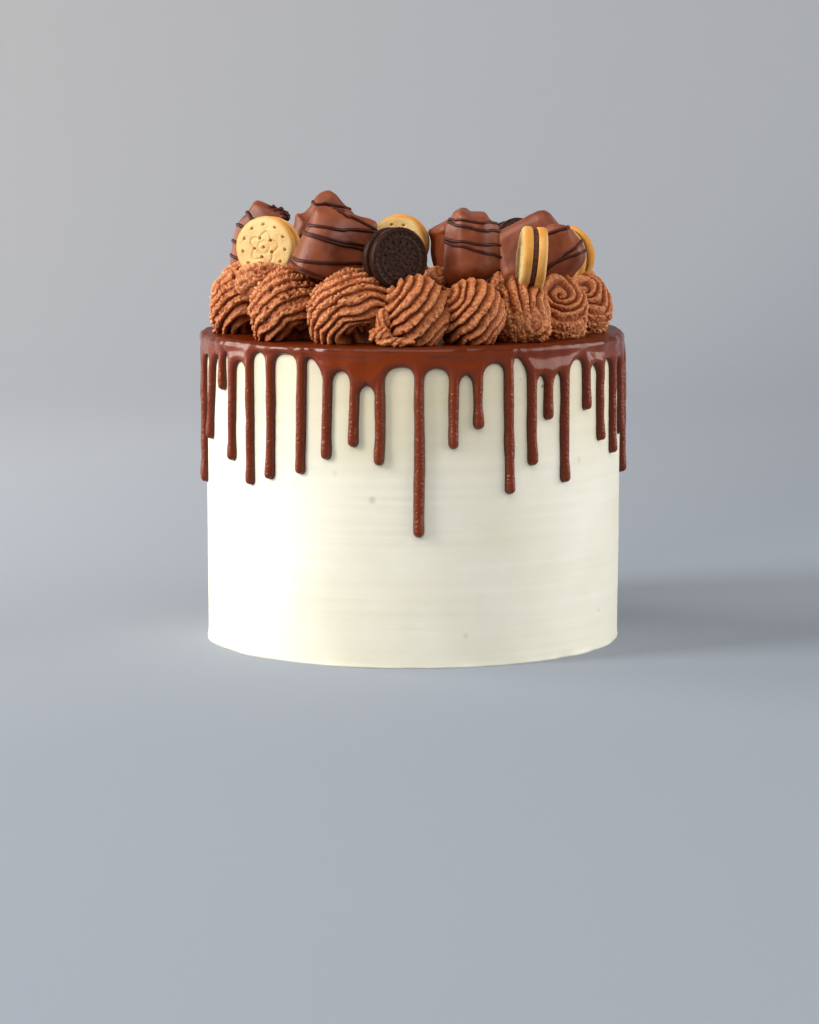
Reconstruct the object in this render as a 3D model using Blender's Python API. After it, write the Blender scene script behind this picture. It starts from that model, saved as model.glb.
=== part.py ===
"""Tall drip cake: an iced round cake, a chocolate ganache cap that runs down its side in drips,
a ring of piped chocolate swirls, and sandwich biscuits and chocolate pieces pressed into them.

Units are metres and +Z is up. The origin is the centre of the cake's flat foot.
Azimuths are in degrees: 0 is the front (-Y) and they grow towards the right (+X).
"""

import math
import random

import bmesh
import bpy
from mathutils import Euler, Matrix, Vector

MM = 0.001
GAP = 0.3 * MM

# Iced cake
CAKE_RADIUS = 80 * MM
CAKE_HEIGHT = 116 * MM
CAKE_EDGE = 1.6 * MM
CAKE_SEGMENTS = 64

# Ganache cap
GANACHE_TOP = 118.7 * MM
GANACHE_RADIUS = 82 * MM
GANACHE_RIM = 2.2 * MM
COLUMNS_PER_GAP = 3
ROOT_DROP = 5.5 * MM
WALL_LIP = 0.6 * MM

# Drips: widths, and how far they stand out from the icing at the root, along the run
# and at the round drop that ends them
DRIP_WIDTH = 4.1 * MM
DRIP_ROOT_WIDTH = 6.4 * MM
DRIP_ROOT_DEPTH = 1.2 * MM
DRIP_DEPTH = 2.5 * MM
DROP_DEPTH = 3.0 * MM
DROP_LENGTH = 2.6 * MM
DROP_TIP = 0.7 * MM
ROOT_RISE = 1.5 * MM
ROOT_LENGTH = 2.0 * MM
DRIP_SIDES = 4
# A drip's flat back lies this far outside the inner face of the side wall
DRIP_BACK = 0.25 * MM

# Front drips: azimuth, length below the top and height of the arch to the next drip, in mm
FRONT_DRIPS = (
    (-82.0, 58, 8), (-71.0, 40, 6), (-62.8, 20, 5), (-57.3, 46, 8), (-49.0, 54, 4),
    (-41.0, 51, 4), (-30.8, 48, 5), (-23.0, 42, 9), (-15.5, 37, 14), (-8.8, 43.5, 8),
    (1.6, 70, 8), (10.8, 37.5, 10), (17.2, 30.5, 7), (26.0, 55, 6), (33.0, 45, 11),
    (38.5, 28.5, 11), (44.4, 52.5, 8), (53.2, 26.5, 10), (60.8, 39, 9), (69.5, 45, 9),
    (78.5, 39, 8), (86.5, 55, 7),
)
BACK_DRIPS = 25
DRIP_SEED = 7

# Piped swirls
RING_RADIUS = 64.5 * MM
SWIRL_DEPTH = 29 * MM
SWIRL_WAIST = 8 * MM
RIDGE_DEPTH = 2.3 * MM
RIDGE_STEP = math.radians(13.2)
RIDGE_COUNT = 10
RIDGE_START = math.radians(12)
LAST_RING = math.radians(163)
SWIRL_SIDES = 9
CAVITY_WIDTH = math.radians(22)
CAVITY_DEPTH = 0.6

# Front swirls: azimuth, width, height in mm, then where the middle of the curl points,
# as an azimuth from the swirl's own outward direction and an elevation
FRONT_SWIRLS = (
    (-78.0, 31.0, 26.5, 96, -44),
    (-48.0, 30.0, 27.0, 80, -44),
    (-22.5, 33.0, 27.5, 52, -28),
    (-0.5, 29.0, 25.5, 60, -38),
    (21.0, 27.0, 24.5, 47, -40),
    (41.5, 26.0, 22.5, 44, -8),
    (63.5, 27.0, 24.0, -89, 32),
    (87.0, 28.0, 23.0, -74, 30),
)
BACK_SWIRLS = 7
SWIRL_SEED = 11

# Sandwich biscuits
BISCUIT_RADIUS = 11.8 * MM
WAFER_THICKNESS = 3.0 * MM
CREAM_THICKNESS = 2.0 * MM
CREAM_INSET = 0.7 * MM
WAFER_EDGE = 0.7 * MM
BISCUIT_SEGMENTS = 18

# Biscuits: name, recipe, x, y and height above the ganache in mm, then the azimuth
# and elevation in degrees that the front wafer faces
BISCUITS = (
    ("biscuit_left", "golden", -54.5, -27.5, 33.2, -29, 4),
    ("biscuit_front", "dark", -5.0, -61.5, 31.0, 24, 3),
    ("biscuit_right", "golden", 43.9, -50.0, 30.6, -81, 5),
    ("biscuit_side", "golden", 58.0, -1.0, 29.8, -33, 6),
    ("biscuit_back_middle", "golden", -5.4, 53.0, 29.9, -12, -4),
    ("biscuit_back_right", "dark", 40.9, 46.0, 28.8, 35, 14),
    ("biscuit_back_left", "dark", -58.5, 30.0, 28.0, -160, 8),
)

# Chocolate pieces: name, x, y and height of the middle above the ganache, base length
# and width, height, top length and width, all in mm, then turns about x, y and z
CHOCOLATES = (
    ("chocolate_tall", -29.5, -49.5, 35.0, 26, 20, 27, 22, 7, 0, 20, 18),
    ("chocolate_front", 23.0, -51.0, 34.5, 30, 20, 19, 19, 10, 0, -86, 140),
    ("chocolate_corner", 57.0, -28.5, 32.0, 21, 20, 18, 13, 9, 0, -60, 150),
    ("chocolate_right", 45.8, 24.0, 31.7, 31, 18, 20, 24, 9, 0, -28, -12),
    ("chocolate_left", -59.5, 9.5, 35.0, 22, 20, 27, 14, 9, 0, 9, -30),
    ("chocolate_back_left", -36.0, 44.5, 37.5, 29, 20, 24, 21, 8, 0, -30, 15),
    ("chocolate_back_middle", 18.6, 50.0, 30.0, 26, 19, 18, 20, 11, 0, -80, 200),
)
CHOCOLATE_ROUNDING = 3.2 * MM
CHOCOLATE_ROUNDING_STEPS = 2


def clear_scene():
    for thing in list(bpy.data.objects):
        bpy.data.objects.remove(thing, do_unlink=True)


def make_material(name, red, green, blue, roughness):
    material = bpy.data.materials.new(name)
    material.use_nodes = True
    shader = material.node_tree.nodes["Principled BSDF"]
    shader.inputs["Base Color"].default_value = (red, green, blue, 1)
    shader.inputs["Roughness"].default_value = roughness
    shader.inputs["Metallic"].default_value = 0
    material.diffuse_color = (red, green, blue, 1)
    return material


def add_object(name, shape, material):
    """Turn a bmesh into an object with smooth faces and sharp edges kept."""
    mesh = bpy.data.meshes.new(name)
    shape.to_mesh(mesh)
    shape.free()
    if material:
        mesh.materials.append(material)
    mesh.shade_smooth()
    mesh.set_sharp_from_angle(angle=math.radians(35))
    thing = bpy.data.objects.new(name, mesh)
    bpy.context.scene.collection.objects.link(thing)
    return thing


def outward(azimuth):
    """Unit vector that points away from the cake's axis at an azimuth in degrees."""
    angle = math.radians(azimuth)
    return Vector((math.sin(angle), -math.cos(angle), 0))


def sideways(azimuth):
    """Unit vector along the rim at an azimuth, to the right as seen from outside."""
    angle = math.radians(azimuth)
    return Vector((math.cos(angle), math.sin(angle), 0))


def facing(azimuth, elevation):
    """Unit vector from an azimuth and an elevation in degrees."""
    rise = math.radians(elevation)
    return outward(azimuth) * math.cos(rise) + Vector((0, 0, math.sin(rise)))


def bridge(shape, lower, upper):
    """Join two rings of vertices with a band of quads."""
    count = len(lower)
    for index in range(count):
        after = (index + 1) % count
        shape.faces.new((lower[index], lower[after], upper[after], upper[index]))


def turned_shape(profile, segments):
    """Turn a profile of (radius, height) pairs, from the foot up, into a closed solid."""
    shape = bmesh.new()
    rings = []
    for radius, height in profile:
        ring = []
        for index in range(segments):
            place = outward(360 * index / segments) * radius
            ring.append(shape.verts.new((place.x, place.y, height)))
        rings.append(ring)
    shape.faces.new(reversed(rings[0]))
    for lower, upper in zip(rings, rings[1:]):
        bridge(shape, lower, upper)
    shape.faces.new(rings[-1])
    return shape


def make_cake(material):
    profile = (
        (CAKE_RADIUS, 0),
        (CAKE_RADIUS, CAKE_HEIGHT - CAKE_EDGE),
        (CAKE_RADIUS - 0.3 * CAKE_EDGE, CAKE_HEIGHT - 0.3 * CAKE_EDGE),
        (CAKE_RADIUS - CAKE_EDGE, CAKE_HEIGHT),
    )
    return add_object("cake", turned_shape(profile, CAKE_SEGMENTS), material)


def all_drips():
    """Front drips as placed by hand, and back drips spread by a seeded rule, right round."""
    drips = [tuple(drip) for drip in FRONT_DRIPS]
    rng = random.Random(DRIP_SEED)
    start = FRONT_DRIPS[-1][0]
    step = (360 + FRONT_DRIPS[0][0] - start) / (BACK_DRIPS + 1)
    for index in range(BACK_DRIPS):
        azimuth = start + step * (index + 1 + rng.uniform(-0.18, 0.18))
        length = rng.choice((27, 33, 38, 43, 47, 52, 58)) + rng.uniform(-2, 2)
        drips.append((azimuth, length, rng.uniform(5, 11)))
    return drips


def skirt_columns(drips):
    """Azimuth and lower edge height of each column of the ganache's side wall."""
    columns = []
    for index, (azimuth, _, arch) in enumerate(drips):
        arch_before = drips[index - 1][2]
        azimuth_after = drips[(index + 1) % len(drips)][0]
        span = (azimuth_after - azimuth) % 360
        root = GANACHE_TOP - min(arch, arch_before) * MM - ROOT_DROP
        columns.append((azimuth, root))
        for step in range(1, COLUMNS_PER_GAP):
            columns.append((azimuth + span * step / COLUMNS_PER_GAP, GANACHE_TOP - arch * MM))
    return columns


def cap_shape(columns):
    """The ganache on the top and its side wall, whose lower edge hangs in arches."""
    inside = CAKE_RADIUS + GAP
    ceiling = CAKE_HEIGHT + GAP
    rows = []
    for azimuth, edge in columns:
        rows.append((
            (inside, ceiling, azimuth),
            (inside, edge, azimuth),
            (GANACHE_RADIUS, edge + WALL_LIP, azimuth),
            (GANACHE_RADIUS, GANACHE_TOP - GANACHE_RIM, azimuth),
            (GANACHE_RADIUS - GANACHE_RIM, GANACHE_TOP, azimuth),
        ))
    shape = bmesh.new()
    rings = []
    for level in range(len(rows[0])):
        ring = []
        for row in rows:
            radius, height, azimuth = row[level]
            place = outward(azimuth) * radius
            ring.append(shape.verts.new((place.x, place.y, height)))
        rings.append(ring)
    shape.faces.new(reversed(rings[0]))
    for lower, upper in zip(rings, rings[1:]):
        bridge(shape, lower, upper)
    shape.faces.new(rings[-1])
    bmesh.ops.recalc_face_normals(shape, faces=shape.faces)
    return shape


def drip_shape(azimuth, length, arch):
    """One drip: a half round bead that narrows from its root and ends in a round drop."""
    top = GANACHE_TOP - arch * MM
    end = GANACHE_TOP - length * MM
    run = top - end
    sections = (
        (top + ROOT_RISE, DRIP_ROOT_WIDTH, DRIP_ROOT_DEPTH),
        (top - 0.16 * run - ROOT_LENGTH, DRIP_WIDTH, DRIP_DEPTH),
        (end + DROP_LENGTH, DRIP_WIDTH * 1.08, DROP_DEPTH),
        (end + DROP_TIP, DRIP_WIDTH * 0.72, DROP_DEPTH * 0.7),
    )
    inside = CAKE_RADIUS + GAP + DRIP_BACK
    shape = bmesh.new()
    rings = []
    for height, width, depth in sections:
        ring = []
        for side in range(DRIP_SIDES + 1):
            turn = math.pi * side / DRIP_SIDES
            across = -0.5 * width * math.cos(turn)
            proud = inside + (depth - GAP - DRIP_BACK) * math.sin(turn)
            place = outward(azimuth) * proud + sideways(azimuth) * across
            ring.append(shape.verts.new((place.x, place.y, height)))
        rings.append(ring)
    for upper, lower in zip(rings, rings[1:]):
        bridge(shape, lower, upper)
    shape.faces.new(rings[0])
    tip = outward(azimuth) * (inside + 0.3 * DROP_DEPTH)
    point = shape.verts.new((tip.x, tip.y, end))
    last = rings[-1]
    for index in range(len(last)):
        shape.faces.new((last[(index + 1) % len(last)], last[index], point))
    bmesh.ops.recalc_face_normals(shape, faces=shape.faces)
    return shape


def new_group(name):
    group = bpy.data.collections.new(name)
    bpy.context.scene.collection.children.link(group)
    return group


def move_to_group(thing, group):
    bpy.context.scene.collection.objects.unlink(thing)
    group.objects.link(thing)


def remove_group(group):
    for thing in list(group.objects):
        bpy.data.objects.remove(thing, do_unlink=True)
    bpy.data.collections.remove(group)


def apply_boolean(thing, operation, group, use_self):
    """Join a whole group to an object, or cut it out of the object, and apply the result."""
    modifier = thing.modifiers.new(operation.lower(), "BOOLEAN")
    modifier.operation = operation
    modifier.operand_type = "COLLECTION"
    modifier.collection = group
    modifier.solver = "EXACT"
    modifier.use_self = use_self
    bpy.context.view_layer.update()
    evaluated = thing.evaluated_get(bpy.context.evaluated_depsgraph_get())
    joined = bpy.data.meshes.new_from_object(evaluated)
    thing.modifiers.clear()
    thing.data = joined


def make_ganache(material):
    drips = all_drips()
    ganache = add_object("ganache", cap_shape(skirt_columns(drips)), material)
    group = new_group("drips")
    for index, (azimuth, length, arch) in enumerate(drips):
        arch_before = drips[index - 1][2]
        shape = drip_shape(azimuth, length, min(arch, arch_before))
        move_to_group(add_object("drip", shape, material), group)
    apply_boolean(ganache, "UNION", group, False)
    remove_group(group)
    ganache.data.shade_smooth()
    ganache.data.set_sharp_from_angle(angle=math.radians(50))
    return ganache


def all_swirls():
    """Front swirls as placed by hand, and back swirls spread evenly with a seeded jitter."""
    swirls = [tuple(swirl) for swirl in FRONT_SWIRLS]
    rng = random.Random(SWIRL_SEED)
    start = FRONT_SWIRLS[-1][0]
    step = (360 + FRONT_SWIRLS[0][0] - start) / (BACK_SWIRLS + 1)
    for index in range(BACK_SWIRLS):
        azimuth = start + step * (index + 1 + rng.uniform(-0.05, 0.05))
        width = rng.uniform(28, 31)
        height = rng.uniform(23.5, 27.5)
        curl = 60 + rng.uniform(-22, 22)
        rise = -34 + rng.uniform(-9, 9)
        swirls.append((azimuth, width, height, curl, rise))
    return swirls


def dome_reach(direction, width, height):
    """Distance from a swirl's waist to its plain dome, along (side, out, up)."""
    side = direction.x / (0.5 * width * MM)
    out = direction.y / (0.5 * SWIRL_DEPTH)
    up = direction.z / (height * MM - SWIRL_WAIST)
    return 1 / math.sqrt(side * side + out * out + up * up)


def swirl_shape(index, swirls):
    """One piped swirl: a dome whose ridges curl round its own axis, flat where it rests
    and flat against its two neighbours."""
    azimuth, width, height, curl, rise = swirls[index]
    before = swirls[index - 1]
    after = swirls[(index + 1) % len(swirls)]
    out = outward(azimuth)
    side = sideways(azimuth)
    middle = out * RING_RADIUS + Vector((0, 0, GANACHE_TOP + GAP + SWIRL_WAIST))
    frame = Matrix((side, out, (0, 0, 1))).transposed()
    axis = Vector((
        math.sin(math.radians(curl)) * math.cos(math.radians(rise)),
        math.cos(math.radians(curl)) * math.cos(math.radians(rise)),
        math.sin(math.radians(rise)),
    ))
    turn = axis.to_track_quat("Z", "Y").to_matrix()
    walls = []
    for other, sign in ((before, -1), (after, 1)):
        share = width / (width + other[1])
        border = azimuth + share * ((other[0] - azimuth + 180) % 360 - 180)
        normal = sideways(border) * sign
        walls.append((normal, -middle.dot(normal) - 0.5 * GAP))
    walls.append((Vector((0, 0, -1)), SWIRL_WAIST))

    def surface(polar, around, drop):
        local = turn @ Vector((
            math.sin(polar) * math.cos(around),
            math.sin(polar) * math.sin(around),
            math.cos(polar),
        ))
        cavity = 1 - CAVITY_DEPTH * math.exp(-((polar / CAVITY_WIDTH) ** 2))
        reach = dome_reach(local, width, height) * cavity - drop
        ray = frame @ local
        for normal, limit in walls:
            along = ray.dot(normal)
            if along > 0:
                reach = min(reach, limit / along)
        return middle + ray * reach

    shape = bmesh.new()
    levels = []
    for half_ridge in range(2 * RIDGE_COUNT + 1):
        drop = RIDGE_DEPTH if half_ridge % 2 == 0 else 0
        levels.append((RIDGE_START + 0.5 * RIDGE_STEP * half_ridge, drop))
    levels.append((LAST_RING, 0.5 * RIDGE_DEPTH))
    rings = []
    for polar, drop in levels:
        ring = []
        for step in range(SWIRL_SIDES):
            around = 2 * math.pi * step / SWIRL_SIDES
            ring.append(shape.verts.new(surface(polar, around, drop)))
        rings.append(ring)
    for lower, upper in zip(rings, rings[1:]):
        bridge(shape, lower, upper)
    first = shape.verts.new(surface(0, 0, RIDGE_DEPTH))
    last = shape.verts.new(surface(math.pi, 0, 0))
    for step in range(SWIRL_SIDES):
        after_step = (step + 1) % SWIRL_SIDES
        shape.faces.new((rings[0][after_step], rings[0][step], first))
        shape.faces.new((rings[-1][step], rings[-1][after_step], last))
    bmesh.ops.triangulate(shape, faces=shape.faces)
    bmesh.ops.recalc_face_normals(shape, faces=shape.faces)
    bmesh.ops.dissolve_limit(
        shape, angle_limit=math.radians(0.5), verts=shape.verts, edges=shape.edges
    )
    return shape


def disc_shape(radius, thickness, edge):
    """A flat disc with its middle at the origin and its upper rim chamfered."""
    half = 0.5 * thickness
    profile = [(radius, -half), (radius, half - edge)]
    if edge:
        profile.append((radius - edge, half))
    return turned_shape(profile, BISCUIT_SEGMENTS)


def place_on(thing, place, direction):
    """Put an object's middle at a place with its own Z along a direction."""
    turn = direction.to_track_quat("Z", "Y").to_matrix().to_4x4()
    thing.matrix_world = Matrix.Translation(place) @ turn


def make_biscuit(entry, materials, rooms):
    name, recipe, x, y, height, azimuth, elevation = entry
    place = Vector((x * MM, y * MM, GANACHE_TOP + height * MM))
    direction = facing(azimuth, elevation)
    offset = 0.5 * (WAFER_THICKNESS + CREAM_THICKNESS) + GAP
    for part, outer_side in (("front", direction), ("back", -direction)):
        wafer = disc_shape(BISCUIT_RADIUS, WAFER_THICKNESS, WAFER_EDGE)
        piece = add_object(f"{name}_{part}", wafer, materials[recipe])
        place_on(piece, place + outer_side * offset, outer_side)
    cream = disc_shape(BISCUIT_RADIUS - CREAM_INSET, CREAM_THICKNESS, 0)
    filling = add_object(f"{name}_cream", cream, materials[recipe + "_cream"])
    place_on(filling, place, direction)
    whole = 2 * WAFER_THICKNESS + CREAM_THICKNESS + 4 * GAP
    room = add_object(f"{name}_room", disc_shape(BISCUIT_RADIUS + GAP, whole, 0), None)
    place_on(room, place, direction)
    move_to_group(room, rooms)


def chocolate_shape(length, width, height, top_length, top_width, margin):
    """A moulded piece: a block whose four sides lean in to a smaller top, edges rounded."""
    shape = bmesh.new()
    rings = []
    for level, (along, across) in (
        (-0.5, (length, width)),
        (0.5, (top_length, top_width)),
    ):
        ring = []
        for x_sign, y_sign in ((-1, -1), (1, -1), (1, 1), (-1, 1)):
            ring.append(shape.verts.new((
                x_sign * (0.5 * along * MM + margin),
                y_sign * (0.5 * across * MM + margin),
                level * height * MM + math.copysign(margin, level),
            )))
        rings.append(ring)
    shape.faces.new(reversed(rings[0]))
    bridge(shape, rings[0], rings[1])
    shape.faces.new(rings[1])
    bmesh.ops.bevel(
        shape,
        geom=shape.edges[:],
        offset=CHOCOLATE_ROUNDING,
        segments=CHOCOLATE_ROUNDING_STEPS,
        profile=0.5,
        affect="EDGES",
    )
    return shape


def make_chocolate(entry, material, rooms):
    name, x, y, height, length, width, tall, top_length, top_width, *turns = entry
    turn = Euler([math.radians(angle) for angle in turns], "XYZ").to_matrix().to_4x4()
    place = Matrix.Translation((x * MM, y * MM, GANACHE_TOP + height * MM)) @ turn
    sizes = (length, width, tall, top_length, top_width)
    piece = add_object(name, chocolate_shape(*sizes, 0), material)
    piece.matrix_world = place
    room = add_object(f"{name}_room", chocolate_shape(*sizes, GAP), None)
    room.matrix_world = place
    move_to_group(room, rooms)


def make_swirls(material, rooms):
    """Pipe the ring of swirls, and press each topping's room into the ones it meets."""
    swirls = all_swirls()
    for index in range(len(swirls)):
        swirl = add_object(f"swirl_{index + 1:02d}", swirl_shape(index, swirls), material)
        apply_boolean(swirl, "DIFFERENCE", rooms, True)
        swirl.data.shade_smooth()
        swirl.data.set_sharp_from_angle(angle=math.radians(40))


def main():
    clear_scene()
    icing = make_material("vanilla buttercream", 0.86, 0.83, 0.72, 0.55)
    ganache = make_material("chocolate ganache", 0.13, 0.035, 0.014, 0.2)
    buttercream = make_material("chocolate buttercream", 0.32, 0.105, 0.045, 0.7)
    chocolate = make_material("milk chocolate", 0.16, 0.05, 0.025, 0.3)
    biscuits = {
        "golden": make_material("golden biscuit", 0.78, 0.5, 0.17, 0.75),
        "golden_cream": make_material("chocolate cream", 0.06, 0.02, 0.01, 0.5),
        "dark": make_material("dark cocoa biscuit", 0.02, 0.012, 0.009, 0.7),
        "dark_cream": make_material("vanilla cream", 0.85, 0.82, 0.74, 0.6),
    }
    make_cake(icing)
    make_ganache(ganache)
    rooms = new_group("rooms for the toppings")
    for entry in BISCUITS:
        make_biscuit(entry, biscuits, rooms)
    for entry in CHOCOLATES:
        make_chocolate(entry, chocolate, rooms)
    bpy.context.view_layer.update()
    make_swirls(buttercream, rooms)
    remove_group(rooms)


main()
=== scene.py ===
"""Drip cake, its looks: scraped vanilla buttercream, a poured ganache cap with drips, piped
chocolate swirls, sandwich biscuits and drizzled chocolate pieces.

Lengths are in millimetres and are made metres where a mesh is written. +Z is up, and the
origin is the centre of the cake's foot. Azimuths are in degrees, 0 at the front (-Y) and
growing towards the right (+X).
"""

import itertools
import math
import random

import bmesh
import bpy
import numpy as np
from mathutils import Matrix, Vector


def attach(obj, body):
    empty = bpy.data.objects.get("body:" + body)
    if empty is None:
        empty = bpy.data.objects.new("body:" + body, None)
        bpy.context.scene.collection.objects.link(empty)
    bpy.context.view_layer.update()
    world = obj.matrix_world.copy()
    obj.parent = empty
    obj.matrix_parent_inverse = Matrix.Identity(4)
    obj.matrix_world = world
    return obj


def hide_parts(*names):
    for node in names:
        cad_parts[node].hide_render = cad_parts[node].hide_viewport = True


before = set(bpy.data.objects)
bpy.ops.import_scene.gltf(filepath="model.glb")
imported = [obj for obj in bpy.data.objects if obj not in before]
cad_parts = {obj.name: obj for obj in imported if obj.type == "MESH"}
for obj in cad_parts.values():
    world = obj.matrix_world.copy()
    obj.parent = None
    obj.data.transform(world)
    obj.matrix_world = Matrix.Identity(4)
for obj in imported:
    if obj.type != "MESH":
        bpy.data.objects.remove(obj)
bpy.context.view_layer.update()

MM = 0.001
BODY = "root"

# Iced cake, and its mesh
CAKE_RADIUS = 80.0
CAKE_HEIGHT = 116.0
ICING_COLUMNS = 420
ICING_ROWS = 170

# Scraped icing: length and height of its slow waves, length, spacing and depth of its level
# scraper marks, and how far its foot spreads and how unevenly
WAVE_LENGTH = 42
WAVE_HEIGHT = 0.22
MARK_LENGTH = 55
MARK_SPACING = 1.6
MARK_DEPTH = 0.07
FOOT_SPREAD = 0.35
FOOT_UNEVENNESS = 0.45

# Ganache: height of its top, thickness of its side wall, radius of its rim, how far it stands
# from the cake's axis at most, height of the bead under its rim, rounding of its edge and of
# its arches, its mesh columns, their width, the height of its mesh rows, and how far down they
# leave room for drips
GANACHE_TOP = 118.7
GANACHE_WALL = 1.35
GANACHE_RIM = 2.2
GANACHE_REACH = 82.85
RIM_BEAD = 0.7
EDGE_ROUNDING = 2.05
ARCH_FILLET = 5.0
GANACHE_COLUMNS = 960
GANACHE_COLUMN = 2 * math.pi * CAKE_RADIUS / GANACHE_COLUMNS
GANACHE_ROW = 0.6
LONGEST_DRIP = 72.0

# Side wall of the ganache: how much thicker it is lower down, beside a drip and along its
# rolled lower edge, and how uneven it is
WALL_SLOPE = 0.75
DRIP_BULGE = 0.4
EDGE_ROLL = 0.3
WALL_UNEVENNESS = 0.22

# Top of the ganache: its radius inside the rim, rings of its mesh as distances in from there,
# how far in the rim's own waves fade, and its depth, which sets its colour, from 0 to 1 and
# is kept low as painted shade from the swirls that stand on it
GANACHE_TOP_RADIUS = 78.9
GANACHE_INSETS = (1.1, 2.3, 3.6, 5, 7, 9.5, 12.5, 17, 24, 34, 48, 64)
GANACHE_CALM = 9.5
GANACHE_TOP_SHADE = 0.35

# Drips: half width, how far they stand out, how far at the round drop that ends them, how much
# they waver, and how far to each side their outline is looked at
DRIP_HALF_WIDTH = 2.0
DRIP_DEPTH = 2.45
DROP_DEPTH = 2.8
DRIP_WAVER = 0.45
DRIP_ROOM = 9

# Front drips: azimuth, length below the top, height of the arch to the next drip at its
# left and right end, and how far the drip leans to the right on its way down
FRONT_DRIPS = (
    (-82.0, 58, 9, 8, 0), (-71.0, 40, 9, 6, -5), (-62.8, 20, 5, 5, 0.5), (-57.3, 46, 8, 8, -1),
    (-49.0, 54, 4, 4, 0), (-41.0, 51, 4, 4, -0.5), (-30.8, 48, 2.5, 8.5, -1),
    (-23.0, 42, 9, 9, -0.7), (-15.5, 37, 14, 14, -0.8), (-8.8, 43.5, 8, 7, -0.3),
    (1.6, 70, 8, 8, 0.2), (10.8, 37.5, 10, 10, -0.2), (17.2, 30.5, 7, 6, 0.2),
    (26.0, 55, 3, 8, 0.8), (33.0, 45, 11, 11, 0.6), (38.5, 28.5, 11, 10, 0.4),
    (44.4, 52.5, 8, 6, 0.6), (53.2, 26.5, 9, 10, 1.2), (60.8, 39, 8, 9, 1.2),
    (69.5, 45, 9, 9, 1.0), (78.5, 39, 8, 8, 1.0), (86.5, 55, 7, 7, 0),
)

# Back drips: how many, and their seed
BACK_DRIPS = 25
DRIP_SEED = 7

# Piped swirls: distance from the cake's axis and depth of a back one, how high their widest
# place is, ridges of a back one, mesh rings to a ridge, mesh segments round the curl, depth of
# the grooves, angle over which the hollow in the curl opens, heights of the slow lumps, torn
# bits and fine grain, and the height for ridges that don't fade. A ridge is a whole number of
# mesh rings wide, so that its groove is on a ring.
SWIRL_RING = 64.5
SWIRL_DEPTH = 29.0
SWIRL_WAIST = 9.5
SWIRL_RIDGES = 13
RINGS_PER_RIDGE = 12
SWIRL_SEGMENTS = 200
RIDGE_DEPTH = 2.4
HOLLOW_WIDTH = 34
LUMP_HEIGHT = 2.4
TEAR_HEIGHT = 4.2
GRAIN_HEIGHT = 1.1
NEVER_FADES = -2

# Front swirls: azimuth and distance from the cake's axis, width, depth and height, where the
# middle of the curl points, as an azimuth from the swirl's own outward direction and an
# elevation, number of ridges, how deep the hollow in the curl is, how torn the crests are, and
# below which height, as a share, the ridges fade, which is -2 if they don't
FRONT_SWIRLS = (
    (-77.0, 64.0, 33.0, 30.0, 28.0, 103, -48, 12, 0.92, 1.25, -2),
    (-45.5, 64.5, 30.0, 30.0, 27.0, 84, -47, 12, 0.92, 1.0, -2),
    (-19.8, 64.5, 35.5, 29.0, 27.5, 46, -41, 13, 0.92, 0.75, -2),
    (0.6, 64.5, 28.0, 29.0, 25.5, 106, -44, 12, 0.4, 0.35, -2),
    (19.6, 64.5, 26.0, 28.0, 24.0, 90, -38, 12, 0.35, 0.3, -2),
    (38.4, 63.5, 24.0, 27.0, 24.5, 54, 14, 11, 0.1, 0.5, 0.25),
    (57.5, 62.5, 25.0, 27.0, 26.0, -38, 46, 11, 0.35, 1.0, -0.12),
    (82.5, 63.8, 27.0, 27.0, 24.0, -66, 46, 12, 0.35, 1.1, -0.08),
)

# Tails that the tip left between swirls: middle (x, y, z), half of its width, depth and
# height, direction of its curl as an azimuth and an elevation, and how torn it is
SWIRL_TAILS = (
    (-56.5, -37.0, 139.5, 10.5, 6.5, 7.5, 20, -50, 1.1),
    (-11.0, -73.0, 127.5, 3.0, 3.4, 5.4, 80, 30, 0.35),
    (-11.8, -76.0, 122.6, 4.6, 3.6, 3.2, 70, -20, 0.35),
    (-6.0, -77.6, 120.4, 7.2, 3.2, 1.9, 80, -30, 0.35),
    (47.0, -58.5, 123.0, 3.6, 3.6, 4.5, -40, 30, 0.6),
    (9.0, -47.5, 140.5, 5.8, 5.0, 6.0, 30, 60, 1.1),
)

# Tails: ridges, depth of their grooves, mesh segments round the curl, and depth of its hollow
TAIL_RIDGES = 4
TAIL_RIDGE_DEPTH = 1.1
TAIL_SEGMENTS = 100
TAIL_HOLLOW = 0.1

# Back swirls: how many, the azimuths that they are spread between, and their seed
BACK_SWIRLS = 7
BACK_SWIRLS_START = 87
BACK_SWIRLS_END = 282
SWIRL_SEED = 11

# Sandwich biscuits: radius, thickness of a wafer and of the filling, how much the filling of
# the visual model is thicker, the kinds, and the seed of the wafers' turns and reliefs
BISCUIT_RADIUS = 11.8
WAFER_THICKNESS = 3.4
CREAM_THICKNESS = 1.7
CREAM_SWELL = 0.4
GOLDEN_BISCUITS = ("biscuit_left", "biscuit_right", "biscuit_side", "biscuit_back_middle")
DARK_BISCUITS = ("biscuit_front", "biscuit_back_right", "biscuit_back_left")
BISCUIT_SEED = 5

# How far a biscuit sits from its solid's middle (x, y, z), and its further turn and lean in
# degrees
BISCUIT_SHIFTS = {
    "biscuit_left": (0, 0, 0, 9, 0),
    "biscuit_front": (-1.7, 0.3, 0, 6, 0),
    "biscuit_right": (0.2, 0, 0, -4, 0),
    "biscuit_side": (0.6, 0.5, -1.6, -8, -14),
}

# Golden biscuits: rounding of the rim, how far the face is domed, how far in the filling ends,
# rings of docking holes as a radius, how many and a phase, the depth of a hole, and the middle
# radius, number of lobes, their height and the depth of the groove
GOLDEN_ROUNDING = 1.5
GOLDEN_DOME = 0.45
GOLDEN_CREAM_INSET = 0.9
GOLDEN_HOLES = ((8.6, 11, 0), (3.7, 5, 0.5), (0, 1, 0))
HOLE_DEPTH = 0.9
GROOVE_RADIUS = 5.0
GROOVE_LOBES = 5
LOBE_HEIGHT = 0.9
GROOVE_DEPTH = 0.36

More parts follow.
